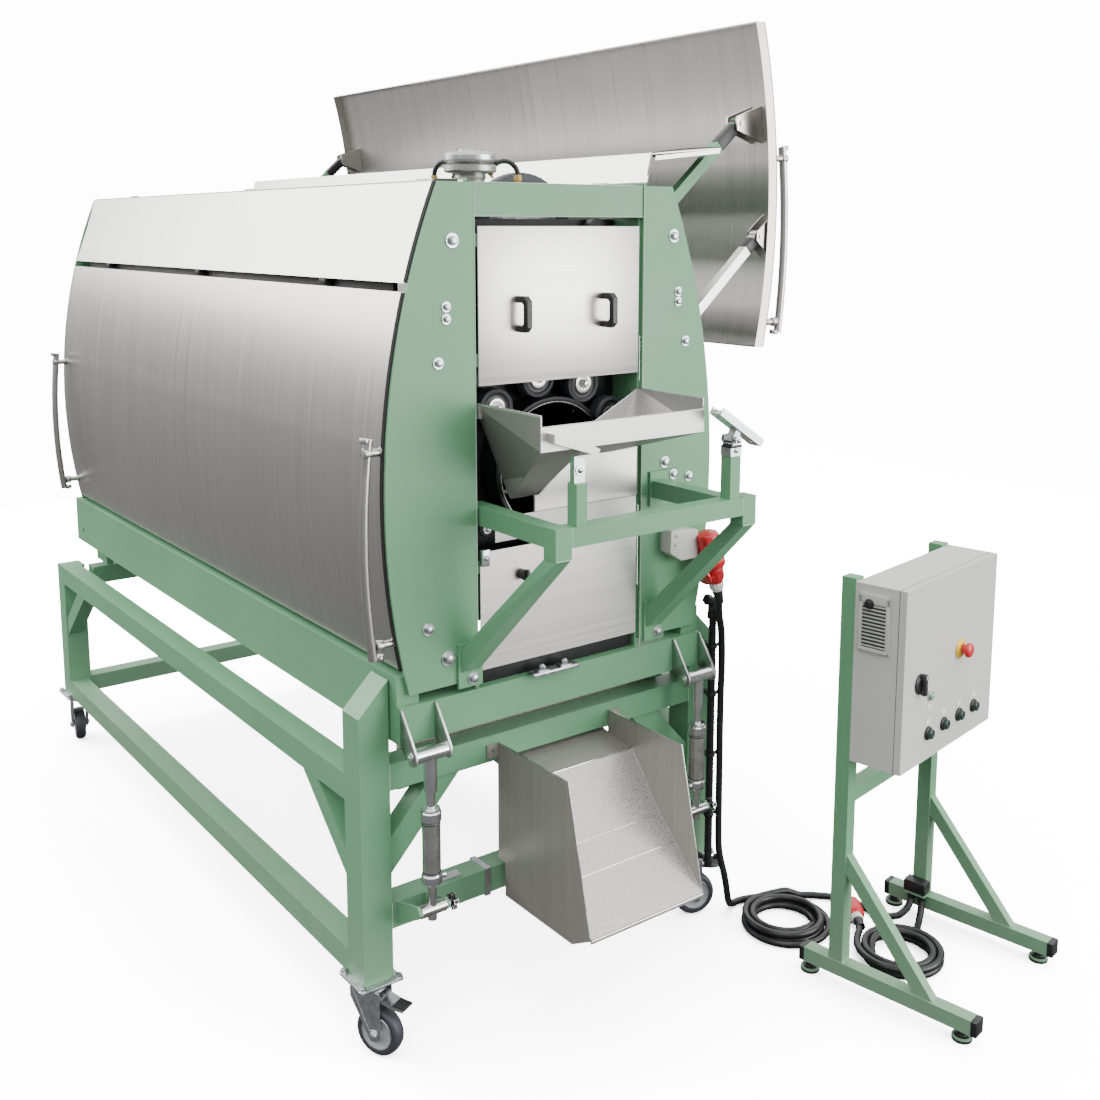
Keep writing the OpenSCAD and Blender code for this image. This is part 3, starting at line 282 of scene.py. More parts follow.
@dataclass(frozen=True)
class PowderCoat(Finish):
    """Baked paint with a faint orange peel, cloudy gloss and a little dust low down."""

    peel: float = 0.12
    dusty: bool = True

    def build(self, nodes: Surface) -> None:
        """Fill the material's nodes.

        Args:
            nodes: the builder of its nodes.
        """
        nodes.set(Metallic=0.0, IOR=1.40, Coat_Weight=0.06, Coat_Roughness=0.22)
        cloud = nodes.noise((2.6, 2.6, 2.6), 4.0, 0.55)
        grit = nodes.noise((240.0, 240.0, 240.0), 2.0)
        base = nodes.blend(nodes.ranged(cloud, 0.3, 0.7, 0.0, 1.0), self.shade(0.955), self.shade(1.035))
        base = nodes.blend(nodes.ranged(grit, 0.62, 0.8, 0.0, 0.10), base, self.shade(1.3))
        if self.dusty:
            low = nodes.ranged(nodes.height(0.0, 0.55), 0.0, 1.0, 0.55, 0.0)
            low = nodes.combine("MULTIPLY", low, nodes.noise((9.0, 9.0, 9.0), 4.0))
            base = nodes.blend(low, base, (0.33, 0.34, 0.30))
        nodes.set(Base_Color=base, Roughness=nodes.ranged(cloud, 0.3, 0.7, self.rough - 0.05, self.rough + 0.06))
        nodes.bump(nodes.noise((520.0, 520.0, 520.0), 2.0), self.peel, 0.0003)


@dataclass(frozen=True)
class BrushedSteel(Finish):
    """Brushed stainless sheet: fine streaks one way, faint blotches and handling marks."""

    grain: Grain = Grain.UP
    contrast: float = 0.10
    metal: float = 1.0

    def build(self, nodes: Surface) -> None:
        """Fill the material's nodes.

        Args:
            nodes: the builder of its nodes.
        """
        nodes.set(Metallic=self.metal)
        streak = nodes.noise(self.grain.value, 1.0, 0.5)
        broad = nodes.noise(tuple(max(1.2, s * 0.05) for s in self.grain.value), 3.0, 0.55)
        cloud = nodes.noise((1.9, 1.9, 1.9), 3.0, 0.5)
        base = nodes.blend(
            nodes.ranged(streak, 0.3, 0.7, 0.0, 1.0), self.shade(1.0 - self.contrast),
            self.shade(1.0 + self.contrast * 0.6),
        )
        base = nodes.blend(nodes.ranged(broad, 0.45, 0.75, 0.0, 0.35), base, self.shade(0.90))
        base = nodes.blend(nodes.ranged(cloud, 0.45, 0.75, 0.0, 0.5), base, self.shade(1.05))
        rough = nodes.ranged(streak, 0.25, 0.75, self.rough - 0.5 * self.contrast, self.rough + 0.8 * self.contrast)
        nodes.set(Base_Color=base, Roughness=rough)
        nodes.bump(streak, 0.4 * self.contrast, 0.0001)


@dataclass(frozen=True)
class PlatedMetal(Finish):
    """Bare or plated metal with a mottled gloss."""

    mottle: float = 60.0

    def build(self, nodes: Surface) -> None:
        """Fill the material's nodes.

        Args:
            nodes: the builder of its nodes.
        """
        nodes.set(Metallic=1.0)
        spots = nodes.noise((self.mottle,) * 3, 3.0, 0.6)
        base = nodes.blend(nodes.ranged(spots, 0.35, 0.7, 0.0, 1.0), self.shade(0.86), self.shade(1.05))
        nodes.set(Base_Color=base, Roughness=nodes.ranged(spots, 0.3, 0.7, self.rough - 0.07, self.rough + 0.08))
        nodes.bump(nodes.noise((700.0,) * 3, 2.0), 0.05, 0.0002)


@dataclass(frozen=True)
class Moulded(Finish):
    """Moulded plastic or rubber with a fine grain and faint scuffs."""

    grit: float = 0.15
    gloss: float = 0.0

    def build(self, nodes: Surface) -> None:
        """Fill the material's nodes.

        Args:
            nodes: the builder of its nodes.
        """
        nodes.set(Metallic=0.0, IOR=1.48, Coat_Weight=self.gloss, Coat_Roughness=0.15)
        scuff = nodes.noise((30.0, 30.0, 30.0), 4.0, 0.6)
        base = nodes.blend(nodes.ranged(scuff, 0.5, 0.8, 0.0, 0.5), self.colour, self.shade(1.25))
        nodes.set(Base_Color=base, Roughness=nodes.ranged(scuff, 0.3, 0.7, self.rough - 0.05, self.rough + 0.08))
        nodes.bump(nodes.noise((850.0,) * 3, 2.0), self.grit, 0.0002)


SAGE = PowderCoat("sage_coat", (0.127, 0.312, 0.164), 0.42)
# A paler copy of the sage paint; it paints the highlight along the frames' seams.
SEAM_HIGHLIGHT = PowderCoat("sage_seam_highlight", (0.46, 0.60, 0.49), 0.45, peel=0.05, dusty=False)
CABINET = PowderCoat("light_grey_coat", (0.52, 0.52, 0.50), 0.42, peel=0.10, dusty=False)
DOOR_STEEL = BrushedSteel("brushed_steel_upright", (0.575, 0.555, 0.53), 0.30, grain=Grain.AROUND, contrast=0.06)
COVER_STEEL = BrushedSteel("brushed_steel_cover", (0.58, 0.57, 0.55), 0.27, grain=Grain.AROUND, contrast=0.045)
STEEL_ACROSS = BrushedSteel("brushed_steel_across", (0.70, 0.685, 0.66), 0.36, grain=Grain.ACROSS, contrast=0.06)
CHUTE_STEEL = BrushedSteel("brushed_steel_chute", (0.345, 0.325, 0.30), 0.36, grain=Grain.UP, contrast=0.12, metal=0.45)
SLIDE_STEEL = BrushedSteel("brushed_steel_slide", (0.50, 0.49, 0.475), 0.30, grain=Grain.UP, contrast=0.14, metal=0.7)
HOPPER_STEEL = BrushedSteel(
    "brushed_steel_hopper", (0.58, 0.575, 0.56), 0.30, grain=Grain.ACROSS, contrast=0.08, metal=0.55,
)
# A darker copy of the hopper's steel; it paints the shade on the hopper's outer faces.
HOPPER_PAINTED_SHADE = BrushedSteel(
    "brushed_steel_painted_shade", (0.26, 0.255, 0.24), 0.42, grain=Grain.ACROSS, contrast=0.08, metal=0.4,
)
POLISHED = PlatedMetal("polished_steel", (0.66, 0.66, 0.65), 0.22, mottle=25.0)
SATIN_STEEL = PlatedMetal("satin_steel", (0.50, 0.51, 0.50), 0.32, mottle=40.0)
LIGHT_STEEL = PlatedMetal("light_steel", (0.72, 0.72, 0.71), 0.30, mottle=40.0)
CHROME = PlatedMetal("chrome", (0.76, 0.77, 0.78), 0.12, mottle=20.0)
ZINC = PlatedMetal("bright_zinc", (0.62, 0.64, 0.66), 0.30)
CAST = PlatedMetal("cast_alloy", (0.42, 0.42, 0.40), 0.40, mottle=120.0)
# Near-black steel whose darkness paints the shade inside the drum.
DRUM_PAINTED_SHADE = PlatedMetal("drum_steel_painted_shade", (0.10, 0.10, 0.105), 0.42, mottle=14.0)
BLACK_STEEL = PlatedMetal("blackened_steel", (0.035, 0.035, 0.037), 0.45, mottle=30.0)
BRASS = PlatedMetal("brass", (0.62, 0.40, 0.14), 0.32)
# Near-black paint for the roller plate, and for the blocks that paint the shade behind the door slots and under the
# lower door.
DARK_SHEET_AND_SHADE = PowderCoat("dark_sheet_and_painted_shade", (0.012, 0.012, 0.013), 0.5, dusty=False)
TYRE = Moulded("grey_tyre_rubber", (0.040, 0.043, 0.052), 0.50)
HUB = Moulded("hub_plastic", (0.34, 0.37, 0.39), 0.38, grit=0.06)
RUBBER = Moulded("black_rubber_mat", (0.013, 0.013, 0.014), 0.55)
CABLE = Moulded("cable_jacket", (0.012, 0.012, 0.013), 0.34, grit=0.10)
BLACK = Moulded("black_moulding", (0.013, 0.013, 0.014), 0.38, grit=0.10)
DARK_GREEN = Moulded("dark_green_cap", (0.008, 0.030, 0.022), 0.30, grit=0.05)
WHITE = Moulded("white_moulding", (0.72, 0.72, 0.70), 0.36, grit=0.05)
RED = Moulded("red_moulding", (0.52, 0.012, 0.018), 0.30, grit=0.06, gloss=0.3)
YELLOW = Moulded("yellow_moulding", (0.80, 0.50, 0.015), 0.32, grit=0.05, gloss=0.3)
AMBER = Moulded("amber_moulding", (0.45, 0.26, 0.06), 0.30, grit=0.05, gloss=0.3)
PALE_GREEN = Moulded("pale_green_lens", (0.16, 0.42, 0.25), 0.22, grit=0.02, gloss=0.4)


# ---------------------------------------------------------------- shapes


def turn_to(axis: Vector) -> Matrix:
    """Return the turn that takes +Z to a direction."""
    return axis.normalized().to_track_quat("Z", "Y").to_matrix().to_4x4()


def shift(x: float, y: float, z: float) -> Matrix:
    """Return a move by three distances."""
    return Matrix.Translation((x, y, z))


def spin(degrees: float, axis: str) -> Matrix:
    """Return a turn about the X, Y or Z axis."""
    return Matrix.Rotation(math.radians(degrees), 4, axis)


def angles(count: int, start: float = 0.0) -> list[float]:
    """Return angles that stand evenly round a circle, in degrees."""
    return [360 / count * k + start for k in range(count)]


def polar(radius: float, degrees: float) -> tuple[float, float]:
    """Return the point of a circle at an angle."""
    return radius * math.cos(math.radians(degrees)), radius * math.sin(math.radians(degrees))


class Shape:
    """A piece in the making: a bmesh in millimetres, in the object's own frame."""

    def __init__(self) -> None:
        """Start with nothing."""
        self.mesh = bmesh.new()

    def _outward(self, verts: Iterable[bmesh.types.BMVert]) -> None:
        """Turn the faces of a closed shape outwards, from its vertices."""
        bmesh.ops.recalc_face_normals(self.mesh, faces=list({f for v in verts for f in v.link_faces}))

    def _sharp(self, verts: Iterable[bmesh.types.BMVert], angle: float = 0.5) -> list[bmesh.types.BMEdge]:
        """Return the edges between some vertices where two faces meet at more than an angle.

        Args:
            verts: the vertices.
            angle: the least angle between the faces, in radians.

        Returns:
            The edges.
        """
        chosen = set(verts)
        return [
            e for e in {e for v in chosen for e in v.link_edges}
            if e.verts[0] in chosen and e.verts[1] in chosen
            and len(e.link_faces) == 2 and e.calc_face_angle(0.0) > angle
        ]

    def _round(self, verts: Sequence[bmesh.types.BMVert], radius: float, steps: int = 2, angle: float = 0.5) -> None:
        """Bevel the sharp edges between some vertices.

        Args:
            verts: the vertices.
            radius: the bevel's width; nothing happens at 0.
            steps: how many facets it has.
            angle: the least angle between two faces for a bevel, in radians.
        """
        if radius > 0:
            bmesh.ops.bevel(
                self.mesh, geom=self._sharp(verts, angle), offset=radius, offset_type="OFFSET", affect="EDGES",
                segments=steps, profile=0.5, material=-1, clamp_overlap=True,
            )

    def block(self, low: Point, high: Point, edge: float = 1.5, steps: int = 2, place: Matrix | None = None) -> "Shape":
        """Add a box with rounded edges.

        Args:
            low: one corner.
            high: the opposite corner.
            edge: the width of the rounded edges.
            steps: how many facets a rounded edge has.
            place: where the box goes, when it isn't where its corners say.

        Returns:
            The shape itself.
        """
        low, high = Vector(low), Vector(high)
        spot = Matrix.Translation((low + high) / 2) @ Matrix.Diagonal((*(high - low), 1.0))
        made = bmesh.ops.create_cube(self.mesh, size=1.0, matrix=(place or Matrix()) @ spot)["verts"]
        self._outward(made)
        self._round(made, edge, steps)
        return self

    def rod(
        self, start: Point, end: Point, radius: float, tip: float | None = None, edge: float = 0.8,
        sides: int = 32, place: Matrix | None = None,
    ) -> "Shape":
        """Add a round rod or cone between two points.

        Args:
            start: the middle of one end.
            end: the middle of the other end.
            radius: the radius at the start.
            tip: the radius at the end, when it differs.
            edge: the width of the rounded edges.
            sides: how many sides it has, so 6 makes a hexagon.
            place: where the rod goes, when it isn't where its ends say.

        Returns:
            The shape itself.
        """
        start, end = Vector(start), Vector(end)
        spot = (place or Matrix()) @ Matrix.Translation((start + end) / 2) @ turn_to(end - start)
        made = bmesh.ops.create_cone(
            self.mesh, cap_ends=True, segments=sides, radius1=radius, radius2=radius if tip is None else tip,
            depth=(end - start).length, matrix=spot,
        )["verts"]
        self._outward(made)
        self._round(made, edge, 2, 0.75 if sides > 8 else 0.5)
        return self

    def turned(self, profile: Sequence[tuple[float, float]], place: Matrix, steps: int = 48) -> "Shape":
        """Add a shape turned about an axis.

        Args:
            profile: points as (radius, height). One that doesn't start on the axis is closed into a ring.
            place: takes the turning axis, which is Z, to its place.
            steps: how many steps the turn has.

        Returns:
            The shape itself.
        """
        if profile[0][0] > 0:
            profile = [*profile, profile[0]]
        verts = [self.mesh.verts.new((r, 0.0, z)) for r, z in profile]
        edges = [self.mesh.edges.new(pair) for pair in zip(verts, verts[1:])]
        made = bmesh.ops.spin(
            self.mesh, geom=verts + edges, cent=(0, 0, 0), axis=(0, 0, 1), angle=math.tau, steps=steps, use_merge=True,
        )
        new = {v for v in made["geom_last"] if isinstance(v, bmesh.types.BMVert)} | set(verts)
        ring = self._linked(new)
        bmesh.ops.remove_doubles(self.mesh, verts=list(ring), dist=0.001)
        ring = self._linked({v for v in new if v.is_valid})
        self._outward(ring)
        bmesh.ops.transform(self.mesh, matrix=place, verts=list(ring))
        return self

    @staticmethod
    def _linked(seeds: set[bmesh.types.BMVert]) -> set[bmesh.types.BMVert]:
        """Find every vertex that is joined to some vertices by edges.

        Args:
            seeds: the vertices to start from.

        Returns:
            They and all that they are joined to.
        """
        found, front = set(seeds), list(seeds)
        while front:
            vert = front.pop()
            for edge in vert.link_edges:
                other = edge.other_vert(vert)
                if other not in found:
                    found.add(other)
                    front.append(other)
        return found

    def plate(
        self, outline: Sequence[tuple[float, float]], axis: Axis, start: float, end: float,
        edge: float = 0.0, steps: int = 2, corner: float = 0.0, place: Matrix | None = None,
    ) -> "Shape":
        """Add a flat outline that is given a thickness along an axis.

        Args:
            outline: its corners, as (y, z) for X, (x, z) for Y and (x, y) for Z.
            axis: the axis that the thickness follows.
            start: where the thickness starts on the axis.
            end: where it ends.
            edge: the width of the rounded edges.
            steps: how many facets a rounded edge has.
            corner: the radius of the outline's own corners.
            place: where the plate goes, when it isn't where its corners say.

        Returns:
            The shape itself.
        """
        spot = {
            Axis.X: lambda u, v: (start, u, v), Axis.Y: lambda u, v: (u, start, v), Axis.Z: lambda u, v: (u, v, start),
        }[axis]
        verts = [self.mesh.verts.new(spot(u, v)) for u, v in outline]
        face = self.mesh.faces.new(verts)
        made = bmesh.ops.extrude_face_region(self.mesh, geom=[face])["geom"]
        moved = [v for v in made if isinstance(v, bmesh.types.BMVert)]
        bmesh.ops.translate(self.mesh, verts=moved, vec=Vector(axis.value) * (end - start))
        every = list(set(verts) | set(moved))
        self._outward(every)
        if corner > 0:
            along = Vector(axis.value)
            sides = [
                e for e in {e for v in every for e in v.link_edges}
                if abs((e.verts[0].co - e.verts[1].co).normalized().dot(along)) > 0.99
            ]
            result = bmesh.ops.bevel(
                self.mesh, geom=sides, offset=corner, offset_type="OFFSET", affect="EDGES", segments=5, profile=0.5,
                material=-1, clamp_overlap=True,
            )
            every = list({v for v in every if v.is_valid} | set(result["verts"]))
        if place is not None:
            bmesh.ops.transform(self.mesh, matrix=place, verts=every)
        self._round(every, edge, steps, 0.9)
        return self

    def bar(self, path: Iterable[Point], radius: float, sides: int = 8, place: Matrix | None = None) -> "Shape":
        """Add a bent round bar that follows a path.

        Args:
            path: the points that the bar's middle goes through.
            radius: the bar's radius.
            sides: how many sides it has.
            place: where the bar goes, when it isn't where its path says.

        Returns:
            The shape itself.
        """
        points = [place @ Vector(p) if place else Vector(p) for p in path]
        loops = []
        normal = None
        for i, point in enumerate(points):
            before = points[i] - points[i - 1] if i else points[1] - points[0]
            after = points[i + 1] - points[i] if i + 1 < len(points) else before
            along = (before.normalized() + after.normalized()).normalized()
            if normal is None:
                normal = along.orthogonal().normalized()
            normal = (normal - along * normal.dot(along)).normalized()
            frame_turn = Matrix((along.cross(normal), normal, along)).transposed()
            ring = bmesh.ops.create_circle(
                self.mesh, cap_ends=False, segments=sides, radius=radius,
                matrix=Matrix.Translation(point) @ frame_turn.to_4x4(),
            )["verts"]
            loops.append(ring)
        for first, second in zip(loops, loops[1:]):
            bmesh.ops.bridge_loops(self.mesh, edges=self._ring(first) + self._ring(second))
        for ring in (loops[0], loops[-1]):
            bmesh.ops.contextual_create(self.mesh, geom=self._ring(ring))
        every = [v for ring in loops for v in ring]
        self._outward(every)
        return self

    @staticmethod
    def _ring(verts: Sequence[bmesh.types.BMVert]) -> list[bmesh.types.BMEdge]:
        """Return the edges that join the vertices of one ring."""
        chosen = set(verts)
        return list({e for v in verts for e in v.link_edges if e.other_vert(v) in chosen})

    def bolt(
        self, at: Point, axis: Vector, radius: float, washer: float = 1.65, domed: bool = False,
        place: Matrix | None = None,
    ) -> "Shape":
        """Add a bolt head on its washer.

        Args:
            at: the middle of the washer's foot.
            axis: the direction that the head points.
            radius: the head's radius.
            washer: the washer's radius over the head's.
            domed: whether the head is a smooth dome instead of a hexagon.
            place: where the bolt goes, when it isn't where its foot and axis say.

        Returns:
            The shape itself.
        """
        if place is not None:
            at, axis = place @ Vector(at), place.to_3x3() @ axis
        place = Matrix.Translation(at) @ turn_to(axis)
        rim = radius * washer
        self.turned([(0, 0), (rim, 0), (rim, 1.6), (rim - 0.8, 2.4), (0, 2.4)], place, 28)
        if domed:
            dome = [(radius * r, 2 + radius * z) for r, z in ((0.86, 0.42), (0.45, 0.62), (0, 0.68))]
            self.turned([(0, 2.0), (radius, 2.0), (radius, 3.4), *dome], place, 24)
        else:
            self.rod((0, 0, 2.2), (0, 0, 2.2 + radius * 0.85), radius, sides=6, edge=0.7, place=place)
            inner, top = radius * 0.78, 2.6 + radius * 0.9
            self.turned([(0, 2), (inner, 2), (inner, 2.4 + radius * 0.85), (radius * 0.66, top), (0, top)], place, 24)
        return self

    def piece(
        self, name: str, finish: Finish, body: str, slot: str, nodes: Sequence[str] = (), smooth: float = 0.7,
    ) -> bpy.types.Object:
        """Turn the shape into a finished piece in metres that rides on a body.

        Args:
            name: the piece's name.
            finish: the finish that it wears.
            body: the body that it rides on, or nothing to leave it on no body.
            slot: the record's material slot that it belongs to; it is not used.
            nodes: the CAD nodes that it stands for.
            smooth: the angle under which an edge is shaded smooth, in radians.

        Returns:
            The piece.
        """
        bmesh.ops.transform(self.mesh, matrix=Matrix.Scale(MM, 4), verts=self.mesh.verts)
        data = bpy.data.meshes.new(name)
        self.mesh.to_mesh(data)
        self.mesh.free()
        data.materials.append(finish.material())
        data.shade_smooth()
        data.set_sharp_from_angle(angle=smooth)
        made = bpy.data.objects.new(name, data)
        bpy.context.scene.collection.objects.link(made)
        if body:
            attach(made, body)
        if nodes:
            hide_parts(*nodes)
        log.info("%s: %d faces on %s", name, len(data.polygons), body or "two bodies")
        return made


def rounded(path: Sequence[Point], radius: float, steps: int = 8) -> list[Vector]:
    """Round the corners of a path.

    Args:
        path: its points.
        radius: how far from a corner the rounding starts, at most.
        steps: how many points each corner gets.

    Returns:
        The points of the rounded path.
    """
    points = [Vector(p) for p in path]
    result = [points[0]]
    for before, corner, after in zip(points, points[1:], points[2:]):
        reach = min(radius, (corner - before).length * 0.49, (after - corner).length * 0.49)
        start = corner + (before - corner).normalized() * reach
        end = corner + (after - corner).normalized() * reach
        for i in range(steps + 1):
            t = i / steps
            result.append(start.lerp(corner, t).lerp(corner.lerp(end, t), t))
    result.append(points[-1])
    return result


def flowing(points: Sequence[Point], steps: int = 6) -> list[Vector]:
    """Draw one smooth line through some points.

    Args:
        points: the points that the line passes.
        steps: how many points each stretch between two of them gets.

    Returns:
        The line's points.
    """
    knots = [Vector(p) for p in points]
    knots = [2 * knots[0] - knots[1], *knots, 2 * knots[-1] - knots[-2]]
    result = []
    for a, b, c, d in zip(knots, knots[1:], knots[2:], knots[3:]):
        for i in range(steps):
            t = i / steps
            result.append(
                0.5 * ((2 * b) + (c - a) * t + (2 * a - 5 * b + 4 * c - d) * t * t + (3 * b - a - 3 * c + d) * t ** 3)
            )
    result.append(knots[-2])
    return result


def dress(finish: Finish, *nodes: str) -> None:
    """Give CAD nodes a finish.

    Args:
        finish: the finish.
        *nodes: the nodes' names.
    """
    for name in nodes:
        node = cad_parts[name]
        for slot in node.material_slots:
            slot.material = finish.material()
        if not node.material_slots:
            node.data.materials.append(finish.material())
        log.info("%s: %s", name, finish.name)


# ---------------------------------------------------------------- camera, floor and light


@dataclass
class Studio:
    """The camera, the pale floor and the soft lights."""

    eye: Point = (-1.8641, -2.4828, 2.0022)
    azimuth: float = -36.8
    elevation: float = 8.7
    lens: float = 41.06
    rise: float = -0.1182
    floor_size: float = 7.0
    floor_seen: float = 6.0
    floor_thrown: float = 0.09
    sky_seen: float = 14.0
    sky_low: float = 0.15
    sky: tuple[tuple[float, float, float], ...] = (
        (-0.4, -0.05, 0.25), (-0.05, 0.25, 0.5), (0.25, 0.5, 1.4), (0.5, 1.0, 0.9),
    )
    lamps: tuple[tuple[str, Point, Point, tuple[float, float], float], ...] = (
        ("front_light", (3.4, -5.0, 1.9), (0.0, 0.0, 1.4), (4.6, 3.4), 400.0),
        ("side_light", (-5.2, 8.0, 4.9), (-0.3, 1.2, 1.4), (7.0, 4.0), 640.0),
    )

    def build(self) -> None:
        """Make everything that isn't the object."""
        self.camera()
        self.floor()
        self.lights()

    def camera(self) -> None:
        """Make the camera and choose it for the scene."""
        data = bpy.data.cameras.new("camera")
        data.sensor_width = 36.0
        data.lens = self.lens
        data.shift_y = self.rise
        data.clip_end = 200.0
        camera = bpy.data.objects.new("camera", data)
        bpy.context.scene.collection.objects.link(camera)
        a, e = math.radians(self.azimuth), math.radians(self.elevation)
        back = Vector((math.sin(a) * math.cos(e), -math.cos(a) * math.cos(e), math.sin(e)))
        camera.location = self.eye
        camera.rotation_euler = back.to_track_quat("Z", "Y").to_euler()
        bpy.context.scene.camera = camera

    def floor(self) -> None:
        """Make the floor under the machine, pale to the eye and calmer in what it throws back."""
        sheet = bmesh.new()
        bmesh.ops.create_grid(sheet, x_segments=1, y_segments=1, size=self.floor_size)
        bmesh.ops.translate(sheet, verts=sheet.verts, vec=(0, 0, -0.0005))
        data = bpy.data.meshes.new("studio_floor")
        sheet.to_mesh(data)
        sheet.free()
        material = bpy.data.materials.new("studio_floor")
        nodes = Nodes(material)
        matt = nodes.add("BsdfDiffuse", Color=nodes.seen_or_thrown(self.floor_seen, self.floor_thrown))
        nodes.add("OutputMaterial", Surface=matt.outputs["BSDF"])
        data.materials.append(material)
        floor = bpy.data.objects.new("studio_floor", data)
        bpy.context.scene.collection.objects.link(floor)

    def lights(self) -> None:
        """Make a surrounding that is bright above and dim below, and the large soft lamps."""
        world = bpy.data.worlds.new("studio")
        bpy.context.scene.world = world
        nodes = Nodes(world)
        way = nodes.add("SeparateXYZ", Vector=nodes.add("TexCoord").outputs["Generated"]).outputs["Z"]
        total = self.sky_low
        for start, end, rise in self.sky:
            total = nodes.combine("ADD", nodes.ranged(way, start, end, 0.0, rise), total)
        shine = nodes.add("Background", Color=(1.0, 1.0, 1.0, 1.0), Strength=nodes.seen_or_thrown(self.sky_seen, total))
        nodes.add("OutputWorld", Surface=shine.outputs["Background"])
        for name, spot, aim, size, power in self.lamps:
            data = bpy.data.lights.new(name, "AREA")
            data.shape = "RECTANGLE"
            data.size, data.size_y = size
            data.energy = power
            lamp = bpy.data.objects.new(name, data)
            bpy.context.scene.collection.objects.link(lamp)
            lamp.location = spot
            lamp.rotation_euler = (Vector(spot) - Vector(aim)).to_track_quat("Z", "Y").to_euler()


# ---------------------------------------------------------------- cables


@dataclass(frozen=True)
class Coil:
    """A neat coil that winds inwards on the floor and outwards again on its own turns."""

    centre: tuple[float, float]
    outer: float
    start: float
    inwards: float
    turns: float
    low: float = 11.0
    high: float = 32.0
    pitch: float = 21.0
    climb: float = 0.17

    def points(self, per_turn: int = 24) -> list[Point]:
        """Return the coil's points, clockwise from above.

        Args:
            per_turn: how many points one turn has.

        Returns:
            The points in millimetres.
        """
        result = []
        count = round(self.turns * per_turn)
        for i in range(count + 1):
            t = self.turns * i / count
            inner = self.outer - self.pitch * self.inwards
            if t <= self.inwards:
                radius, lift = self.outer - self.pitch * t, 0.0
            else:
                lift = min(1.0, (t - self.inwards) / self.climb)
                radius = inner + self.pitch * max(0.0, t - self.inwards - self.climb)
            angle = math.radians(self.start - 360.0 * t)
            level = self.low + (self.high - self.low) * (lift * lift * (3 - 2 * lift))
            result.append((self.centre[0] + radius * math.cos(angle), self.centre[1] + radius * math.sin(angle), level))
        return result


@dataclass
class Cables:
    """The cable from the machine to its stand, and the stand's own supply cable."""

    radius: float = 10.0
    down: tuple[Point, ...] = (
        (491.35, -101, 1014.05), (494.9, -101, 1001), (508, -90, 950), (536, -72, 890), (549, -63, 800),
        (550, -60, 700), (550, -60, 600), (550, -61, 500), (550, -62, 400), (550, -63, 310), (552, -66, 230),
        (569, -73, 150), (594, -60, 84), (621, -40, 38), (650, -22, 14), (684, -20, 11), (720, -30, 11),
        (750, -46, 11),
    )
    first_coil: Coil = Coil(centre=(708, -182), outer=131.0, start=59.6, inwards=2.25, turns=3.957)
    across: tuple[Point, ...] = (
        (800, -88, 33), (824, -98, 27), (848, -110, 15), (892, -140, 11), (932, -186, 11), (952, -242, 11),
        (956, -300, 11), (966, -340, 12), (988, -366, 18), (1016, -376, 36), (1035, -375, 60), (1038, -374, 79),
    )
    supply: tuple[Point, ...] = (
        (1047, -402, 79), (1046, -403, 64), (1036, -410, 38), (1012, -422, 16), (984, -438, 11), (964, -458, 11),
    )
    second_coil: Coil = Coil(centre=(840, -490), outer=110.0, start=-2.0, inwards=1.55, turns=3.64)
    to_plug: tuple[Point, ...] = ((802, -372, 27), (826, -358, 28), (850, -336, 31))

    def build(self) -> None:
        """Make both cables."""
        link = flowing([*self.down, *self.first_coil.points(), *self.across])
        self.lead(
            "link_lead", link, ("link_cable", "link_coil"), bodies=("base", "tilting_body"),
        )
        mains = flowing([*self.supply, *self.second_coil.points(), *self.to_plug])
        self.lead("mains_lead", mains, ("mains_cable", "mains_coil"))

    def lead(
        self, name: str, path: Sequence[Vector], nodes: Sequence[str],
        bodies: tuple[str, str] | None = None,
    ) -> None:
        """Args:
            name: the piece's name.
            path: the points of its middle, in millimetres.
            nodes: the CAD nodes that it stands for.
            bodies: two bodies that it runs between, when it isn't on the base alone; it is then attached to neither.
        """
        shape = Shape().bar(path, self.radius, sides=14)
        made = shape.piece(name, CABLE, "" if bodies else "base", "black_rubber", nodes, smooth=1.2)
        if bodies:
            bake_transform(made)


# ---------------------------------------------------------------- base


def side(sign: int) -> Matrix:
    """Return the mirror that takes the right side to the left for -1, and nothing for 1."""
    return Matrix.Scale(sign, 4, (1, 0, 0)) if sign < 0 else Matrix()


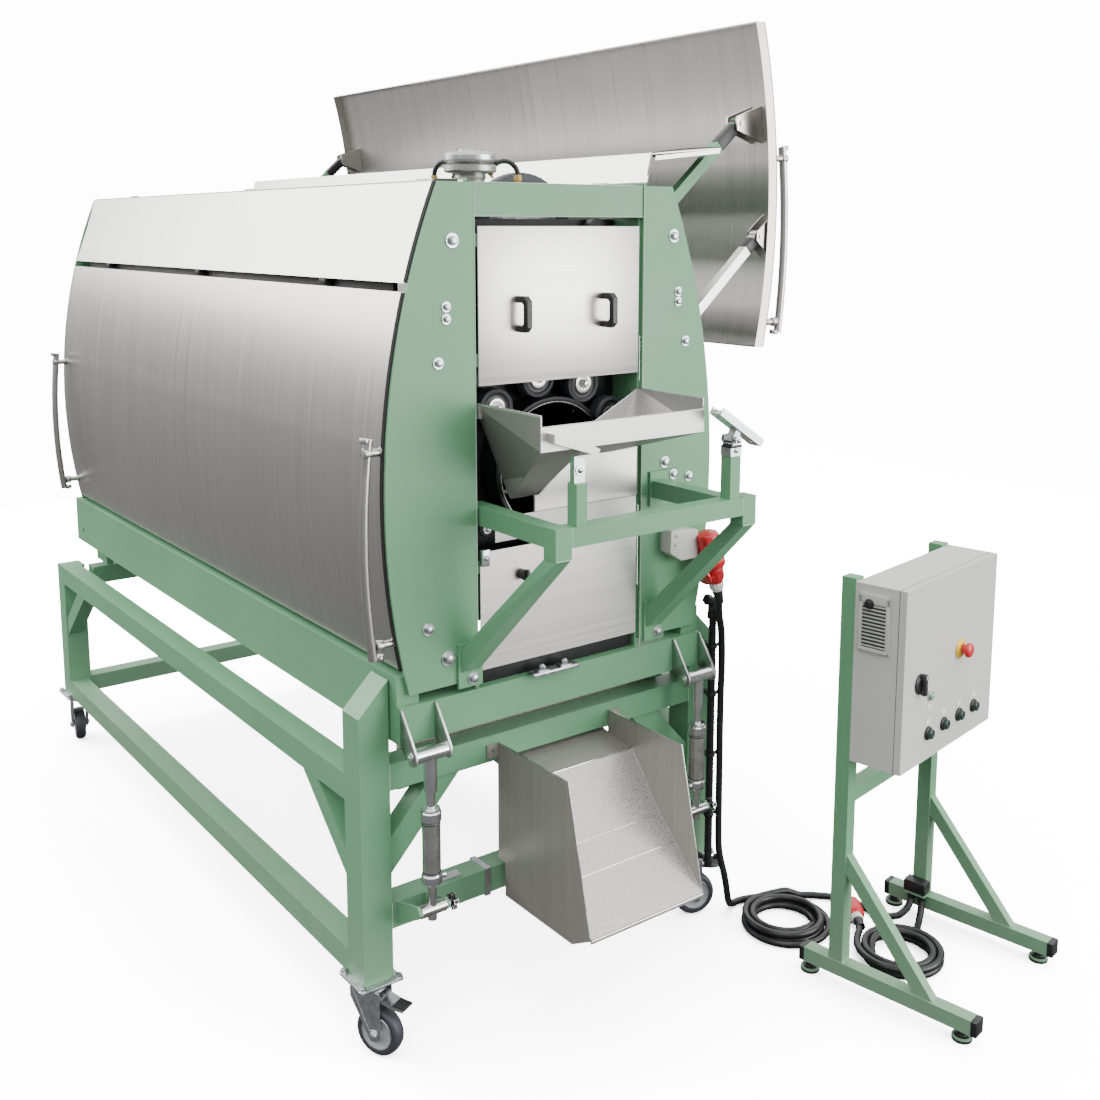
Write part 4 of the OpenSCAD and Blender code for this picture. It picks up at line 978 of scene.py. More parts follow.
@dataclass
class BaseFrame:
    """The welded stand on casters, with its chute, knobs and strap."""

    leg_x: float = 562.0
    leg: float = 80.0
    beam_top: float = 744.0
    chute_left: float = -172.0
    chute_right: float = 190.0
    chute_top: float = 722.0
    slide_top: float = 670.0
    lip_z: float = 361.0

    def build(self) -> None:
        """Dress the frame and add its small parts."""
        dress(SAGE, "base_frame")
        dress(ZINC, "base_fittings")
        dress(CHUTE_STEEL, "discharge_chute")
        self.seams()
        self.chute_lines()

    def seams(self) -> None:
        """Add pale lines that paint the highlight along the seams where the upper rails and beams meet the legs."""
        inner = self.leg_x - self.leg
        shape = Shape()
        for x in (0.2 - inner, inner - 0.2):
            for low, high in ((self.beam_top - 66, self.beam_top), (325, 391)):
                shape.rod((x, -0.4, low + 1), (x, -0.4, high - 1), 0.9, sides=8, edge=0)
        shape.piece("frame_seams", SEAM_HIGHLIGHT, "base", "sage_paint")

    def chute_lines(self) -> None:
        """Add the slide's brighter sheet, its welded seam and the bright folds of the walls."""
        x0, x1 = self.chute_left + 4, self.chute_right - 4
        fold_z, end_z = self.slide_top - 159.4, self.lip_z + 2.8
        path = [(-102.0, self.slide_top - 21.4), (-216.0, fold_z), (-377.0, end_z)]
        sheet = Shape().plate([*path, *((y - 0.2, z + 0.9) for y, z in reversed(path))], Axis.X, x0 - 0.6, x1 + 0.6)
        sheet.piece("chute_slide", SLIDE_STEEL, "base", "brushed_stainless")
        shape = Shape()
        seam = (-274.0, fold_z + (end_z - fold_z) * 58 / 161)
        for (y, z), radius in ((seam, 1.5), (path[0], 2.2), (path[1], 0.7)):
            shape.bar([(x0, y, z + 1.2), (x1, y, z + 1.2)], radius)
        for x in (x0, x1):
            shape.bar([(x, y - 0.6, z + 1.0) for y, z in path], 1.1)
        wall = ((-2, self.chute_top), (-290, self.chute_top), (-375, self.lip_z), (-305, self.lip_z - 40))
        for x in (self.chute_left + 1.5, self.chute_right - 1.5):
            shape.bar([(x, y, z) for y, z in wall], 1.8)
        shape.bar([(x0, -378.4, self.lip_z), (x1, -378.4, self.lip_z)], 1.6)
        shape.piece("chute_folds", POLISHED, "base", "brushed_stainless")


@dataclass
class Caster:
    """One swivel caster: its tyre, hub, fork trim and, at the front, its brake pedal."""

    number: int
    x: float
    y: float
    turn: float
    braked: bool
    trail: float = 24.0
    radius: float = 62.0
    plate_z: float = 200.0
    head_z: float = 180.0
    gap: float = 24.0

    @property
    def place(self) -> Matrix:
        """Return where the caster's own frame stands."""
        return shift(self.x, self.y, 0) @ spin(self.turn, "Z")

    def build(self) -> None:
        """Make every piece of the caster."""
        n = self.number
        dress(ZINC, f"caster_fork_{n}")
        axle = self.place @ shift(self.trail, 0, self.radius) @ spin(90, "X")
        tyre = Shape().turned(
            [
                (43, -17), (50, -18.6), (56, -17.6), (60, -13.5), (61.8, -6), (62, 0), (61.8, 6), (60, 13.5),
                (56, 17.6), (50, 18.6), (43, 17),
            ],
            axle, 64,
        )
        tyre.piece(f"caster_tyre_{n}", TYRE, f"wheel_{n}", "grey_tyre", [f"caster_wheel_{n}"])
        hub = Shape().turned(
            [
                (6.2, -21), (13, -21), (15, -19.5), (17, -16), (30, -13.8), (36, -16.5), (41, -18.2), (43.4, -17),
                (43.4, 17), (41, 18.2), (36, 16.5), (30, 13.8), (17, 16), (15, 19.5), (13, 21), (6.2, 21),
            ],
            axle, 64,
        )
        hub.piece(f"caster_hub_{n}", HUB, f"wheel_{n}", "grey_tyre")
        rings = Shape()
        for h in (-18.4, 18.4):
            rings.turned([(41.8, h - 0.9), (43.6, h - 0.9), (44.4, h), (43.6, h + 0.9), (41.8, h + 0.9)], axle, 64)
        rings.piece(f"caster_rim_rings_{n}", ZINC, f"wheel_{n}", "zinc_plate")
        self.fork_trim()
        self.plate_bolts()
        if self.braked:
            self.pedal()

    def fork_trim(self) -> None:
        """Add the swivel's races, the axle's nuts and the stiffening beads of the fork."""
        shape = Shape()
        shape.turned(
            [(14, 174), (37, 174), (41.5, 177), (42.5, 181), (41.5, 185), (36, 187.5), (14, 187.5)], self.place, 48,
        )
        shape.turned([(14, 188.5), (34, 188.5), (36, 190.5), (34, 193), (14, 193)], self.place, 48)
        for s in (-1, 1):
            y = s * (self.gap + 5)
            shape.bolt((self.trail, y, self.radius), Vector((0, s, 0)), 10.0, 1.45, domed=True, place=self.place)
            for x0, x1 in ((-36, self.trail - 14), (34, self.trail + 13)):
                bead = y + s * 0.2
                shape.bar([(x0, bead, self.head_z - 10), (x1, bead, self.radius + 10)], 2.2, place=self.place)
        shape.piece(f"caster_fork_trim_{self.number}", ZINC, f"caster_{self.number}", "zinc_plate")

    def plate_bolts(self) -> None:
        """Add the top plate's four bolts and its raised rim."""
        shape = Shape()
        for x in (-49, 49):
            for y in (-49, 49):
                shape.bolt((x, y, self.plate_z - 0.2), UP, 8.6, 1.3, place=self.place_flat)
        shape.block((-58, -58, 193.2), (58, 58, 199.9), edge=1.8, place=self.place_flat)
        shape.piece(f"caster_plate_{self.number}", ZINC, "base", "zinc_plate")

    @property
    def place_flat(self) -> Matrix:
        """Return the place of the fixed plate, which doesn't turn."""
        return shift(self.x, self.y, 0)

    def pedal(self) -> None:
        """Add the brake pedal's ribbed tread."""
        n = self.number
        dress(ZINC, f"caster_pedal_{n}")
        tread = Shape()
        slant = self.place @ shift(89, 0, 147.2) @ spin(5, "Y")
        tread.block((-17, -20, -1.6), (17, 20, 1.4), edge=1.0, place=slant)
        for i in range(5):
            x = -13 + 6.5 * i
            tread.block((x - 1.2, -18, 1.0), (x + 1.2, 18, 3.0), edge=0.6, steps=1, place=slant)
        tread.piece(f"caster_tread_{n}", BLACK, f"pedal_{n}", "black_plastic")


@dataclass
class LiftCylinders:
    """The pair of cylinders that tilt the machine, with their clevises and star knobs."""

    x: float = 427.0
    y: float = -95.0
    foot_z: float = 403.0
    barrel_low: float = 469.0
    barrel_high: float = 658.0
    pin_z: float = 793.0

    def build(self) -> None:
        """Dress the cylinders and add their trim."""
        dress(POLISHED, "lift_barrels")
        dress(CHROME, "lift_rods")
        self.barrels()
        self.clevises()
        self.knobs()

    def barrels(self) -> None:
        """Add the end caps, the scraper rings and the fluid ports."""
        caps, dark = Shape(), Shape()
        for s in (-1, 1):
            place = shift(s * self.x, self.y, 0)
            low, high = self.barrel_low, self.barrel_high
            caps.turned(
                [
                    (12, low - 2), (19, low - 2), (24, low + 3), (25, low + 6), (25, low + 22), (23, low + 24),
                    (22.3, low + 26), (12, low + 26),
                ],
                place,
            )
            caps.turned(
                [
                    (11.4, high - 32), (22.4, high - 32), (25, high - 29), (25, high - 9), (22.4, high - 6),
                    (22.4, high - 2), (19, high + 1), (11.4, high + 1),
                ],
                place,
            )
            caps.rod(
                (s * self.x - s * 20, self.y - 4, low + 14), (s * self.x - s * 34, self.y - 6, low + 14), 7, edge=1,
            )
            for z in (low + 30, high - 38):
                dark.turned([(21.6, z), (22.6, z), (22.6, z + 2.2), (21.6, z + 2.2)], place)
        caps.piece("cylinder_caps", CHROME, "base", "brushed_stainless")
        dark.piece("cylinder_rings", BLACK, "base", "black_plastic")

    def clevises(self) -> None:
        """Add the bright clevis plates and the heads of their pins."""
        z = self.pin_z
        outline = [
            (-46, 803), (-46, 893.2), (-50.6, 893.2), (-115.2, z + 8.6), (-115.2, z - 12.6), (-103.4, z - 21.2),
            (-86.4, z - 21.2),
        ]
        plates, pins = Shape(), Shape()
        for s in (-1, 1):
            for x in (self.x - 50, self.x + 44):
                low, high = sorted((s * (x - 0.5), s * (x + 6.5)))
                plates.plate(outline, Axis.X, low, high, edge=1.0)
            for x, way in ((self.x - 51, -1), (self.x + 51, 1)):
                pins.bolt((s * x, self.y, z), Vector((s * way, 0, 0)), 8.0, 1.5, domed=True)
        plates.piece("clevis_plates", SATIN_STEEL, "tilting_body", "brushed_stainless")
        pins.piece("clevis_pins", CHROME, "tilting_body", "zinc_plate")

    def knobs(self) -> None:
        """Add the moulded stars over the knobs at the cylinders' feet, and the bolts beside them."""
        stars, bolts = Shape(), Shape()
        for x in (-self.x + 42.2, self.x + 42.2):
            for a in angles(5):
                place = shift(x + 14, self.y, self.foot_z) @ spin(a, "X")
                stars.block((-6.6, -5.6, 0), (6.6, 5.6, 20.6), edge=3.0, steps=3, place=place)
            stars.rod((x + 2, self.y, self.foot_z), (x + 22, self.y, self.foot_z), 11, edge=2)
        for s in (-1, 1):
            bolts.bolt((s * (self.x - 42.2), self.y, self.foot_z), Vector((-s, 0, 0)), 9, 1.4)
        stars.piece("star_knobs", BLACK, "base", "black_plastic")
        bolts.piece("foot_bolts", ZINC, "base", "zinc_plate")


# ---------------------------------------------------------------- body of the machine


@dataclass
class EndFrames:
    """The green end plates with their bolts, clamp plate, painted seam highlights, hinge plates and painted shade
    blocks.
    """

    front_y: float = -45.0
    top: float = 2107.0
    open_x: float = 258.0
    beam_top: float = 896.0
    foot_y: float = -53.0
    belly_x: float = 504.0
    belly_z: float = 1370.0
    arc: float = 1886.0
    bolts_left: tuple[Point, ...] = (
        (-319, 1974, 11), (-337, 1824, 8), (-337, 1796, 8), (-360, 1696, 9), (-397, 1072, 10), (-343, 990, 12),
    )
    bolts_right: tuple[Point, ...] = (
        (360, 1982, 11), (378, 1838, 8), (378, 1812, 8), (406, 1707, 9), (339, 1389, 10), (426, 1341, 9),
    )

    def outline(self, z: float) -> float:
        """Return the half width of the side outline at a height."""
        return self.belly_x - self.arc + math.sqrt(self.arc ** 2 - (z - self.belly_z) ** 2)

    def build(self) -> None:
        """Dress both end frames and add their small parts."""
        dress(SAGE, "tilt_frame", "front_frame", "rear_frame")
        dress(DARK_SHEET_AND_SHADE, "roller_plate")
        self.bolts()
        self.clamp()
        self.seams()
        self.hinges()
        self.shadows()

    def bolts(self) -> None:
        """Add the bolts and washers of the front end plate."""
        shape = Shape()
        for x, z, r in self.bolts_left + self.bolts_right:
            shape.bolt((x, self.front_y - 0.1, z), FRONT, r, 1.6)
        for x, z, r in ((-278, 930, 10), (315, 930, 10), (363, 1355, 9)):
            shape.bolt((x, self.foot_y - 0.1, z), FRONT, r, 1.6)
        shape.piece("frame_bolt_heads", ZINC, "tilting_body", "zinc_plate", ["frame_bolts"])

    def shadows(self) -> None:
        """Add near-black blocks that paint the shade behind the slots over the doors and under the lower door."""
        shape = Shape()
        for s in (-1, 1):
            low, high = sorted((s * 398, s * 411))
            shape.block((low, 64, 1842), (high, 2320, 1896), edge=2)
            for y in (360, 1190, 2030):
                low, high = sorted((s * 411, s * 436))
                shape.block((low, y, 1862), (high, y + 34, 1878), edge=2)
        shape.block((-246, -22, 897), (246, -12, 942), edge=1)
        shape.piece("painted_shade_blocks", DARK_SHEET_AND_SHADE, "tilting_body", "black_steel")

    def clamp(self) -> None:
        """Add the slotted clamp plate with its two nuts on the front beam."""
        shape = Shape()
        top = self.beam_top
        shape.block((-110, -73, top + 0.2), (32, -43, top + 10), edge=1.5)
        for x in (-76, -6):
            shape.block((x - 16, -70, top + 10), (x + 16, -46, top + 13), edge=1.0)
            shape.bolt((x, -59, top + 12.5), UP, 10, 1.15)
            shape.rod((x, -59, top + 20), (x, -59, top + 27), 5.5, sides=16)
        shape.piece("clamp_plate", ZINC, "tilting_body", "zinc_plate")

    def seams(self) -> None:
        """Add pale lines that paint the highlight along the seams beside the columns and under the top beam."""
        shape = Shape()
        y = self.front_y - 0.3
        for s in (-1, 1):
            x = s * (self.open_x - 0.2)
            shape.bar([(x, y, self.beam_top + 2), (x, y, self.top - 1)], 1.0)
        for drop, radius in ((77.6, 0.8), (0.4, 1.0)):
            shape.bar([(s * (self.open_x - 1), y + 3, self.top - drop) for s in (-1, 1)], radius)
        shape.piece("end_frame_seams", SEAM_HIGHLIGHT, "tilting_body", "sage_paint")

    def hinges(self) -> None:
        """Add the hinge plates with their screws on the roof rails."""
        shape = Shape()
        for s in (-1, 1):
            for y in (330, 1250, 2050):
                shape.block((s * 204, y + 4, self.top - 8), (s * 262, y + 56, self.top - 4.2), edge=0.8)
                for x in (214, 228):
                    shape.bolt((s * x, y + 30, self.top - 4.2), UP, 4.5, 1.4, domed=True)
        shape.piece("roof_hinges", ZINC, "tilting_body", "zinc_plate")


def edging_rows(front_y: float, thick: float) -> tuple[float, float]:
    """Return where the two rows of a rubber edging lie on Y, from its sheet's front and its half thickness."""
    return front_y - thick + 1.6, front_y + thick * 0.6 + 1.6


@dataclass
class SkinDoor:
    """One curved side door: its sheet, its edge seals and the feet of its grab bars."""

    name: str
    body: str
    sign: int
    shift: tuple[float, float]
    front_y: float = -31.0
    back_y: float = 2416.0
    low: float = 982.0
    high: float = 1860.0
    grab_z: float = 1276.0
    grab_reach: float = 226.0
    grab_out: float = 46.0
    frames: EndFrames = field(default_factory=EndFrames)

    def build(self) -> None:
        """Dress the door and add its trim."""
        dress(DOOR_STEEL, self.name)
        self.seal()
        self.grab_feet()

    def at(self, x: float, y: float, z: float) -> Point:
        """Return a point of the closed right door where this door has it."""
        return self.sign * (x + self.shift[0]), y, z + self.shift[1]

    def seal(self) -> None:
        """Add the black rubber edging along the curved front end."""
        shape = Shape()
        thick = BROAD_EDGING if self.sign < 0 else SLIM_EDGING
        heights = [self.low + 1 + (self.high - self.low - 2) * i / 24 for i in range(25)]
        for y in edging_rows(self.front_y, thick):
            shape.bar([self.at(self.frames.outline(z) + 0.2, y, z) for z in heights], thick)
        shape.piece(f"{self.name}_edging", RUBBER, self.body, "black_rubber")

    def grab_feet(self) -> None:
        """Add the clamps that hold the curved grab bars on their standoffs."""
        shape = Shape()
        for y in (self.front_y + 10, self.back_y - 10):
            for end in (-1, 1):
                z = self.grab_z + end * self.grab_reach
                x = self.frames.outline(z)
                shape.rod(self.at(x, y, z), self.at(x + 4, y, z), 11.8, edge=1.2)
                shape.rod(self.at(x + 28, y, z), self.at(x + self.grab_out, y, z), 12.5, 13.5, edge=2)
            for end in (-1, 1):
                z = self.grab_z + end * (self.grab_reach + 31)
                x = self.frames.outline(z - end * 7) + self.grab_out
                shape.rod(self.at(x - 2, y, z - end * 8), self.at(x - 4, y, z + end * 4), 11.8, edge=2)
        shape.piece(f"{self.name}_grab_feet", SATIN_STEEL, self.body, "brushed_stainless")


@dataclass
class Covers:
    """The two upper covers with their rubber edging."""

    hinge: tuple[float, float] = (272.0, 2112.0)
    swing: float = 76.0
    low: float = 1880.0
    top: float = 2107.0
    front_y: float = -31.0
    frames: EndFrames = field(default_factory=EndFrames)

    def build(self) -> None:
        """Dress both covers and edge them."""
        dress(COVER_STEEL, "left_cover", "right_cover")
        closed = side(-1)
        turn = (
            shift(self.hinge[0], 0, self.hinge[1]) @ spin(-self.swing, "Y")
            @ shift(-self.hinge[0], 0, -self.hinge[1])
        )
        self.edging("left_cover", closed, BROAD_EDGING)
        self.edging("right_cover", turn, SLIM_EDGING)

    def edging(self, name: str, place: Matrix, thick: float) -> None:
        """Add the rubber edging at a cover's front end.

        Args:
            name: the cover's node and the start of the piece's name.
            place: takes the closed right cover to where this one is.
            thick: the edging's half thickness.
        """
        x1 = self.frames.outline(self.top)
        heights = [self.low + 1 + (self.top - self.low - 4) * i / 6 for i in range(7)]
        shape = Shape()
        for y in edging_rows(self.front_y, thick):
            path = [(self.frames.outline(z) + 0.4, y, z) for z in heights] + [
                (x1 - 4, y, self.top + 2.0), (self.hinge[0] + 24, y, self.top + 2.0),
            ]
            shape.bar(path, thick, place=place)
        shape.piece(f"{name}_edging", RUBBER, name.replace("_cover", "_top_cover"), "black_rubber")


@dataclass
class LiftArms:
    """The parallel arms that carry the side doors."""

    upper: tuple[float, float] = (348.0, 2008.0)
    lower: tuple[float, float] = (393.0, 1703.0)
    length: float = 418.0
    upper_y: float = 38.0
    lower_y: float = -3.0
    mid_y: float = 1192.5
    closed: float = -81.5
    opened: float = 41.5

    def build(self) -> None:
        """Dress the arms and add their dark clevises and light end fittings."""
        dress(SAGE, "left_upper_arms", "right_upper_arms")
        dress(LIGHT_STEEL, "left_lower_arms", "right_lower_arms")
        for name, sign, turn in (("left", -1, self.closed), ("right", 1, self.opened)):
            ends, tips, fittings = Shape(), Shape(), Shape()
            for y in (self.upper_y, 2 * self.mid_y - self.upper_y):
                place = self.place(sign, self.upper, y, turn)
                ends.block((322, -14.4, -16.4), (400, 14.4, 16.4), edge=3, place=place)
                ends.rod((self.length - 6, -14.4, 0), (self.length - 6, 14.4, 0), 17, edge=1.5, place=place)
            for y in (self.lower_y, 2 * self.mid_y - self.lower_y):
                place = self.place(sign, self.lower, y, turn)
                fittings.block((22, -14.2, -14.4), (86, 14.2, 14.4), edge=2, place=place)
                for x in (44, 66):
                    fittings.bolt((x, -14.2, 0), FRONT, 4.2, 1.2, domed=True, place=place)
                tips.block((360, -14.2, -14.4), (398, 14.2, 14.4), edge=2.5, place=place)
            ends.piece(f"{name}_upper_arm_ends", BLACK, f"{name}_upper_arm_pair", "black_steel")
            tips.piece(f"{name}_lower_arm_ends", BLACK, f"{name}_lower_arm_pair", "black_steel")
            fittings.piece(f"{name}_lower_arm_feet", LIGHT_STEEL, f"{name}_lower_arm_pair", "cabinet_grey")

    @staticmethod
    def place(sign: int, pivot: tuple[float, float], y: float, turn: float) -> Matrix:
        """Return the frame of one arm, with its pivot at the origin and the arm along +X."""
        return side(sign) @ shift(pivot[0], y, pivot[1]) @ spin(-turn, "Y")


@dataclass
class DriveTrain:
    """The drum, its guide rollers, its drive wheel and the motor on the roof."""

    drum_z: float = 1412.0
    mouth_r: float = 161.0
    neck_y: float = -5.0
    roller_path: float = 225.3
    roller_y: float = 27.0
    wheel_z: float = 1990.3
    wheel_r: float = 150.0
    wheel_y: float = 140.0
    roller_angles: tuple[float, ...] = (-46.0, -9.0, 28.0, 61.0)
    motor: tuple[float, float] = (-190.0, 73.0)
    motor_z: float = 2107.0

    def build(self) -> None:
        """Make the running parts."""
        # The drum's near-black steel paints the shade inside it.
        dress(DRUM_PAINTED_SHADE, "drum")
        self.mouth()
        for i, angle in enumerate(self.roller_angles, 1):
            self.roller(i, angle)
        self.drive_wheel()
        self.gear_motor()

    def along_y(self, x: float, y: float, z: float) -> Matrix:
        """Return a place whose Z axis points along +Y."""
        return shift(x, y, z) @ spin(-90, "X")

    def mouth(self) -> None:
        """Add the drum's dark neck ring, its thin bright bead and its liner with lifting ribs."""
        place = self.along_y(0, self.neck_y, self.drum_z)
        r = self.mouth_r
        rim = Shape().turned(
            [
                (r + 0.4, -0.2), (r + 2, -1.8), (165, -2.4), (172, -2.4), (174.4, -1.6), (175.4, 0), (175.4, 5),
                (174.6, 6), (r + 0.4, 6),
            ],
            place, 96,
        )
        rim.piece("drum_rim", BLACK_STEEL, "drum_body", "brushed_stainless")
        bead = Shape().turned(
            [(r, -2.2), (r + 0.6, -3.6), (r + 1.6, -3.6), (r + 2.2, -2.2), (r + 1.6, -1.2), (r, -1.2)], place, 96,
        )
        bead.piece("drum_bead", LIGHT_STEEL, "drum_body", "brushed_stainless")
        liner = Shape().turned([(r - 0.1, 8), (r - 0.1, 88), (r - 1.4, 88), (r - 1.4, 8)], place, 96)
        for a in angles(6):
            liner.block((r - 15, -3, 14), (r - 0.6, 3, 86), edge=1.2, place=place @ spin(a, "Z"))
        liner.piece("drum_liner", BLACK_STEEL, "drum_body", "black_steel")

    def roller(self, number: int, angle: float) -> None:
        """Make one guide roller: a grooved tyre round a dark disc and a bright hub.

        Args:
            number: its number.
            angle: its place round the neck, in degrees from the top.
        """
        a = math.radians(angle)
        place = self.along_y(
            self.roller_path * math.sin(a), self.roller_y, self.drum_z + self.roller_path * math.cos(a),
        )
        body = f"roller_{number}"
        tyre = Shape().turned(
            [
                (38, -17), (39, -18.8), (41.5, -19.8), (43, -18.6), (44.5, -18.6), (46, -19.8), (48.4, -18.6),
                (49.7, -15.5), (50, -12), (50, 12), (49.6, 15.5), (47.5, 18.6), (43, 19.8), (39, 18.8), (38, 17),
            ],
            place, 56,
        )
        tyre.piece(f"guide_roller_tyre_{number}", TYRE, body, "black_rubber", [f"guide_roller_{number}"])
        disc = Shape().turned(
            [(24, -16.5), (30, -15), (36, -15.5), (38.2, -17.2), (38.2, 17.2), (24, 17.2)], place, 48,
        )
        disc.piece(f"guide_roller_disc_{number}", BLACK, body, "black_rubber")
        hub = Shape().turned(
            [
                (9.2, -17), (13, -17), (14.5, -19.5), (22, -20.4), (24.6, -19.6), (25.2, -17), (25.2, 18.8),
                (9.2, 20.2),
            ],
            place, 48,
        )
        hub.piece(f"guide_roller_hub_{number}", LIGHT_STEEL, body, "zinc_plate")
        nut = Shape()
        nut.rod((0, 0, -28), (0, 0, -15), 11, sides=6, edge=0.8, place=place)
        nut.rod((0, 0, -33), (0, 0, -27), 7.5, sides=20, edge=1.5, place=place)
        nut.piece(f"guide_roller_nut_{number}", LIGHT_STEEL, "tilting_body", "zinc_plate")

    def drive_wheel(self) -> None:
        """Make the drive wheel: a broad rubber tyre, a dished rim and its shaft."""
        place = self.along_y(0, self.wheel_y, self.wheel_z)
        r = self.wheel_r
        tyre = Shape().turned(
            [
                (r - 42, -17), (r - 36, -19.6), (r - 14, -19.8), (r - 4, -18), (r - 0.6, -14), (r, -9), (r, 9),
                (r - 0.6, 14), (r - 4, 18), (r - 14, 19.8), (r - 36, 19.6), (r - 42, 17),
            ],
            place, 96,
        )
        for a in angles(48):
            tyre.block((r - 9, -1.6, -18.9), (r - 1.6, 1.6, -17.2), edge=0.0, place=place @ spin(a, "Z"))
        tyre.piece("drive_wheel_tyre", TYRE, "drive_wheel_body", "black_rubber", ["drive_wheel"])
        rim = Shape().turned(
            [
                (0, -44), (14, -44), (14.9, -42), (14.9, -22), (34, -19), (40, -12), (88, -10), (98, -15),
                (108.6, -17), (108.6, 17), (98, 15), (88, 10), (40, 12), (34, 19), (0, 19),
            ],
            place, 64,
        )
        for a in angles(6, 30):
            rim.bolt((*polar(58, a), -10.8), -UP, 6, 1.5, place=place)
        rim.piece("drive_wheel_rim", CAST, "drive_wheel_body", "motor_grey")

    def gear_motor(self) -> None:
        """Make the flat motor with its fittings and hose loops."""
        x, y = self.motor
        z = self.motor_z
        place = shift(x, y, z)
        case = Shape().turned(
            [
                (0, -4), (34, -4), (34, 8), (38, 14), (36, 22), (48, 24), (60, 26), (63, 29), (63, 41), (60, 44),
                (56, 45.5), (54, 47), (56, 48.5), (60, 50), (63, 53), (63, 67), (60.5, 71), (55, 73.6), (31, 74),
                (29, 79), (25, 80), (0, 80),
            ],
            place, 72,
        )
        case.block((x - 50, 15.4, z - 7.8), (x + 55, y + 70, z + 2), edge=2)
        for a in angles(6, 12):
            u, v = polar(46, a)
            case.bolt((x + u, y + v, z + 73.2), UP, 4.2, 1.25)
        case.piece("motor_case", CAST, "tilting_body", "motor_grey", ["gear_motor"])
        band = Shape().turned([(63, 54), (64, 55), (64, 65), (63, 66), (61, 66), (61, 54)], place, 72)
        band.piece("motor_band", ZINC, "tilting_body", "motor_grey")
        hoses, collars, bases = Shape(), Shape(), Shape()
        for turn in (-20, 105):
            spot = shift(x, y, z + 20) @ spin(turn, "Z")
            arc = [polar(34, a) for a in range(0, 181, 12)]
            hoses.bar([(118, 0, -18), *((84 + u, 0, v) for u, v in arc)], 6.2, sides=12, place=spot)
            collars.rod((118, 0, -17), (118, 0, 2), 8.6, edge=1, place=spot)
            collars.rod((118, 0, -12), (118, 0, -5), 10.5, sides=6, edge=0.8, place=spot)
            collars.rod((52, 0, 0), (50, 0, -2), 8.5, edge=0.6, place=spot)
        bases.block((x + 55.2, 15.4, z - 7.8), (x + 135, y - 18, z + 2), edge=1.5)
        bases.block((x - 50, y + 70.2, z - 7.8), (x - 10, y + 134, z + 2), edge=1.5)
        hoses.piece("motor_hoses", CABLE, "tilting_body", "motor_grey")
        collars.piece("motor_fittings", AMBER, "tilting_body", "motor_grey")
        bases.piece("hose_bases", ZINC, "tilting_body", "motor_grey")


@dataclass
class Hopper:
    """The folded feed hopper, with a deep nose, a shallow tray, a guard plate and bright edges."""

    half: float = 247.0
    lip_y: float = -285.0
    back_y: float = -23.0
    guard_y: float = -41.0
    wing_z: float = 1592.0
    lip_high: float = 1567.0
    lip_low: float = 1513.0
    nose: tuple[Point, Point] = ((-147.0, -27.0, 1352.0), (-72.0, -27.0, 1352.0))
    tray: tuple[Point, Point] = ((38.0, -40.0, 1439.0), (160.0, -40.0, 1439.0))
    fold_x: float = -118.0

    def build(self) -> None:
        """Dress the hopper and add its bright folded edges and a darker skin that paints the shade on its outer faces.
        """
        dress(HOPPER_STEEL, "hopper")
        shape = Shape()
        low = self.lip_low
        for s, back_y in ((-1, self.back_y), (1, self.guard_y + 1)):
            x = s * (self.half - 2)
            shape.bar(
                [(x, back_y, self.wing_z + 1.2), (x, self.lip_y, self.wing_z + 1.2), (x, self.lip_y - 1.6, low)], 1.5,
            )
        left, right = self.nose
        shape.bar([(-self.half + 2, self.back_y, self.wing_z), left], 1.3)
        shape.bar([(-self.half + 2, self.lip_y, low), (left[0], left[1] - 1, left[2])], 1.4)
        shape.bar([(left[0], left[1] - 1, left[2] - 1), (right[0], right[1] - 1, right[2] - 1)], 1.3)
        shape.bar([(self.half - 2, self.guard_y + 1, self.wing_z), (self.tray[1][0], -43, self.tray[1][2] + 2)], 1.2)
        for z, radius in ((self.lip_high, 1.7), (low - 1.6, 1.4)):
            shape.bar([(s * self.half, self.lip_y - 1.5, z) for s in (-1, 1)], radius)
        slant = ((self.half - 2, self.wing_z), (104, 1520), (self.tray[0][0], self.tray[0][2]))
        shape.bar([(x, self.guard_y - 0.3, z) for x, z in slant], 1.2)
        shape.piece("hopper_folds", POLISHED, "tilting_body", "brushed_stainless")
        self.outer()
        self.guard()

    def outer(self) -> None:
        """Add a darker skin that paints the shade on the outer faces of the left side and of the nose."""
        shape = Shape()
        back = (-self.half - 0.2, self.back_y, self.wing_z - 3)
        low = (-self.half - 0.2, self.lip_y, self.lip_low - 1)
        left, right = self.nose
        skin = shape.mesh
        fold = (self.fold_x, self.lip_y - 1, self.lip_low - 3.4)
        tray = [(x, y - 4, z - 2.6) for x, y, z in self.tray]
        for corners in (
            [back, (-self.half - 0.2, self.lip_y, self.wing_z - 3), low],
            [back, low, (left[0] - 1.8, left[1] - 1.6, left[2] - 1)],
            [(low[0], low[1] - 1, low[2] - 2.4), fold, *((x, y - 2.6, z - 1) for x, y, z in (right, left))],
            [fold, (self.half, *fold[1:]), tray[1], tray[0]],
        ):
            skin.faces.new([skin.verts.new(c) for c in reversed(corners)])
        shape.piece("hopper_painted_shade", HOPPER_PAINTED_SHADE, "tilting_body", "brushed_stainless")

    def guard(self) -> None:
        """Add the bright face of the guard plate with its turned edges."""
        shape = Shape()
        y = self.guard_y
        shape.plate(
            [(-85, 1313), (245, 1313), (245, 1438), (self.tray[0][0], 1438), (-71, 1351.6), (-85, 1351.6)],
            Axis.Y, y - 1.2, y - 0.1, edge=0.4, steps=1,
        )
        for x, high in ((245, 1438), (-85, 1351)):
            shape.bar([(x, y - 1.2, 1313), (x, y - 1.2, high)], 1.3)
        shape.piece("guard_plate", STEEL_ACROSS, "tilting_body", "brushed_stainless")


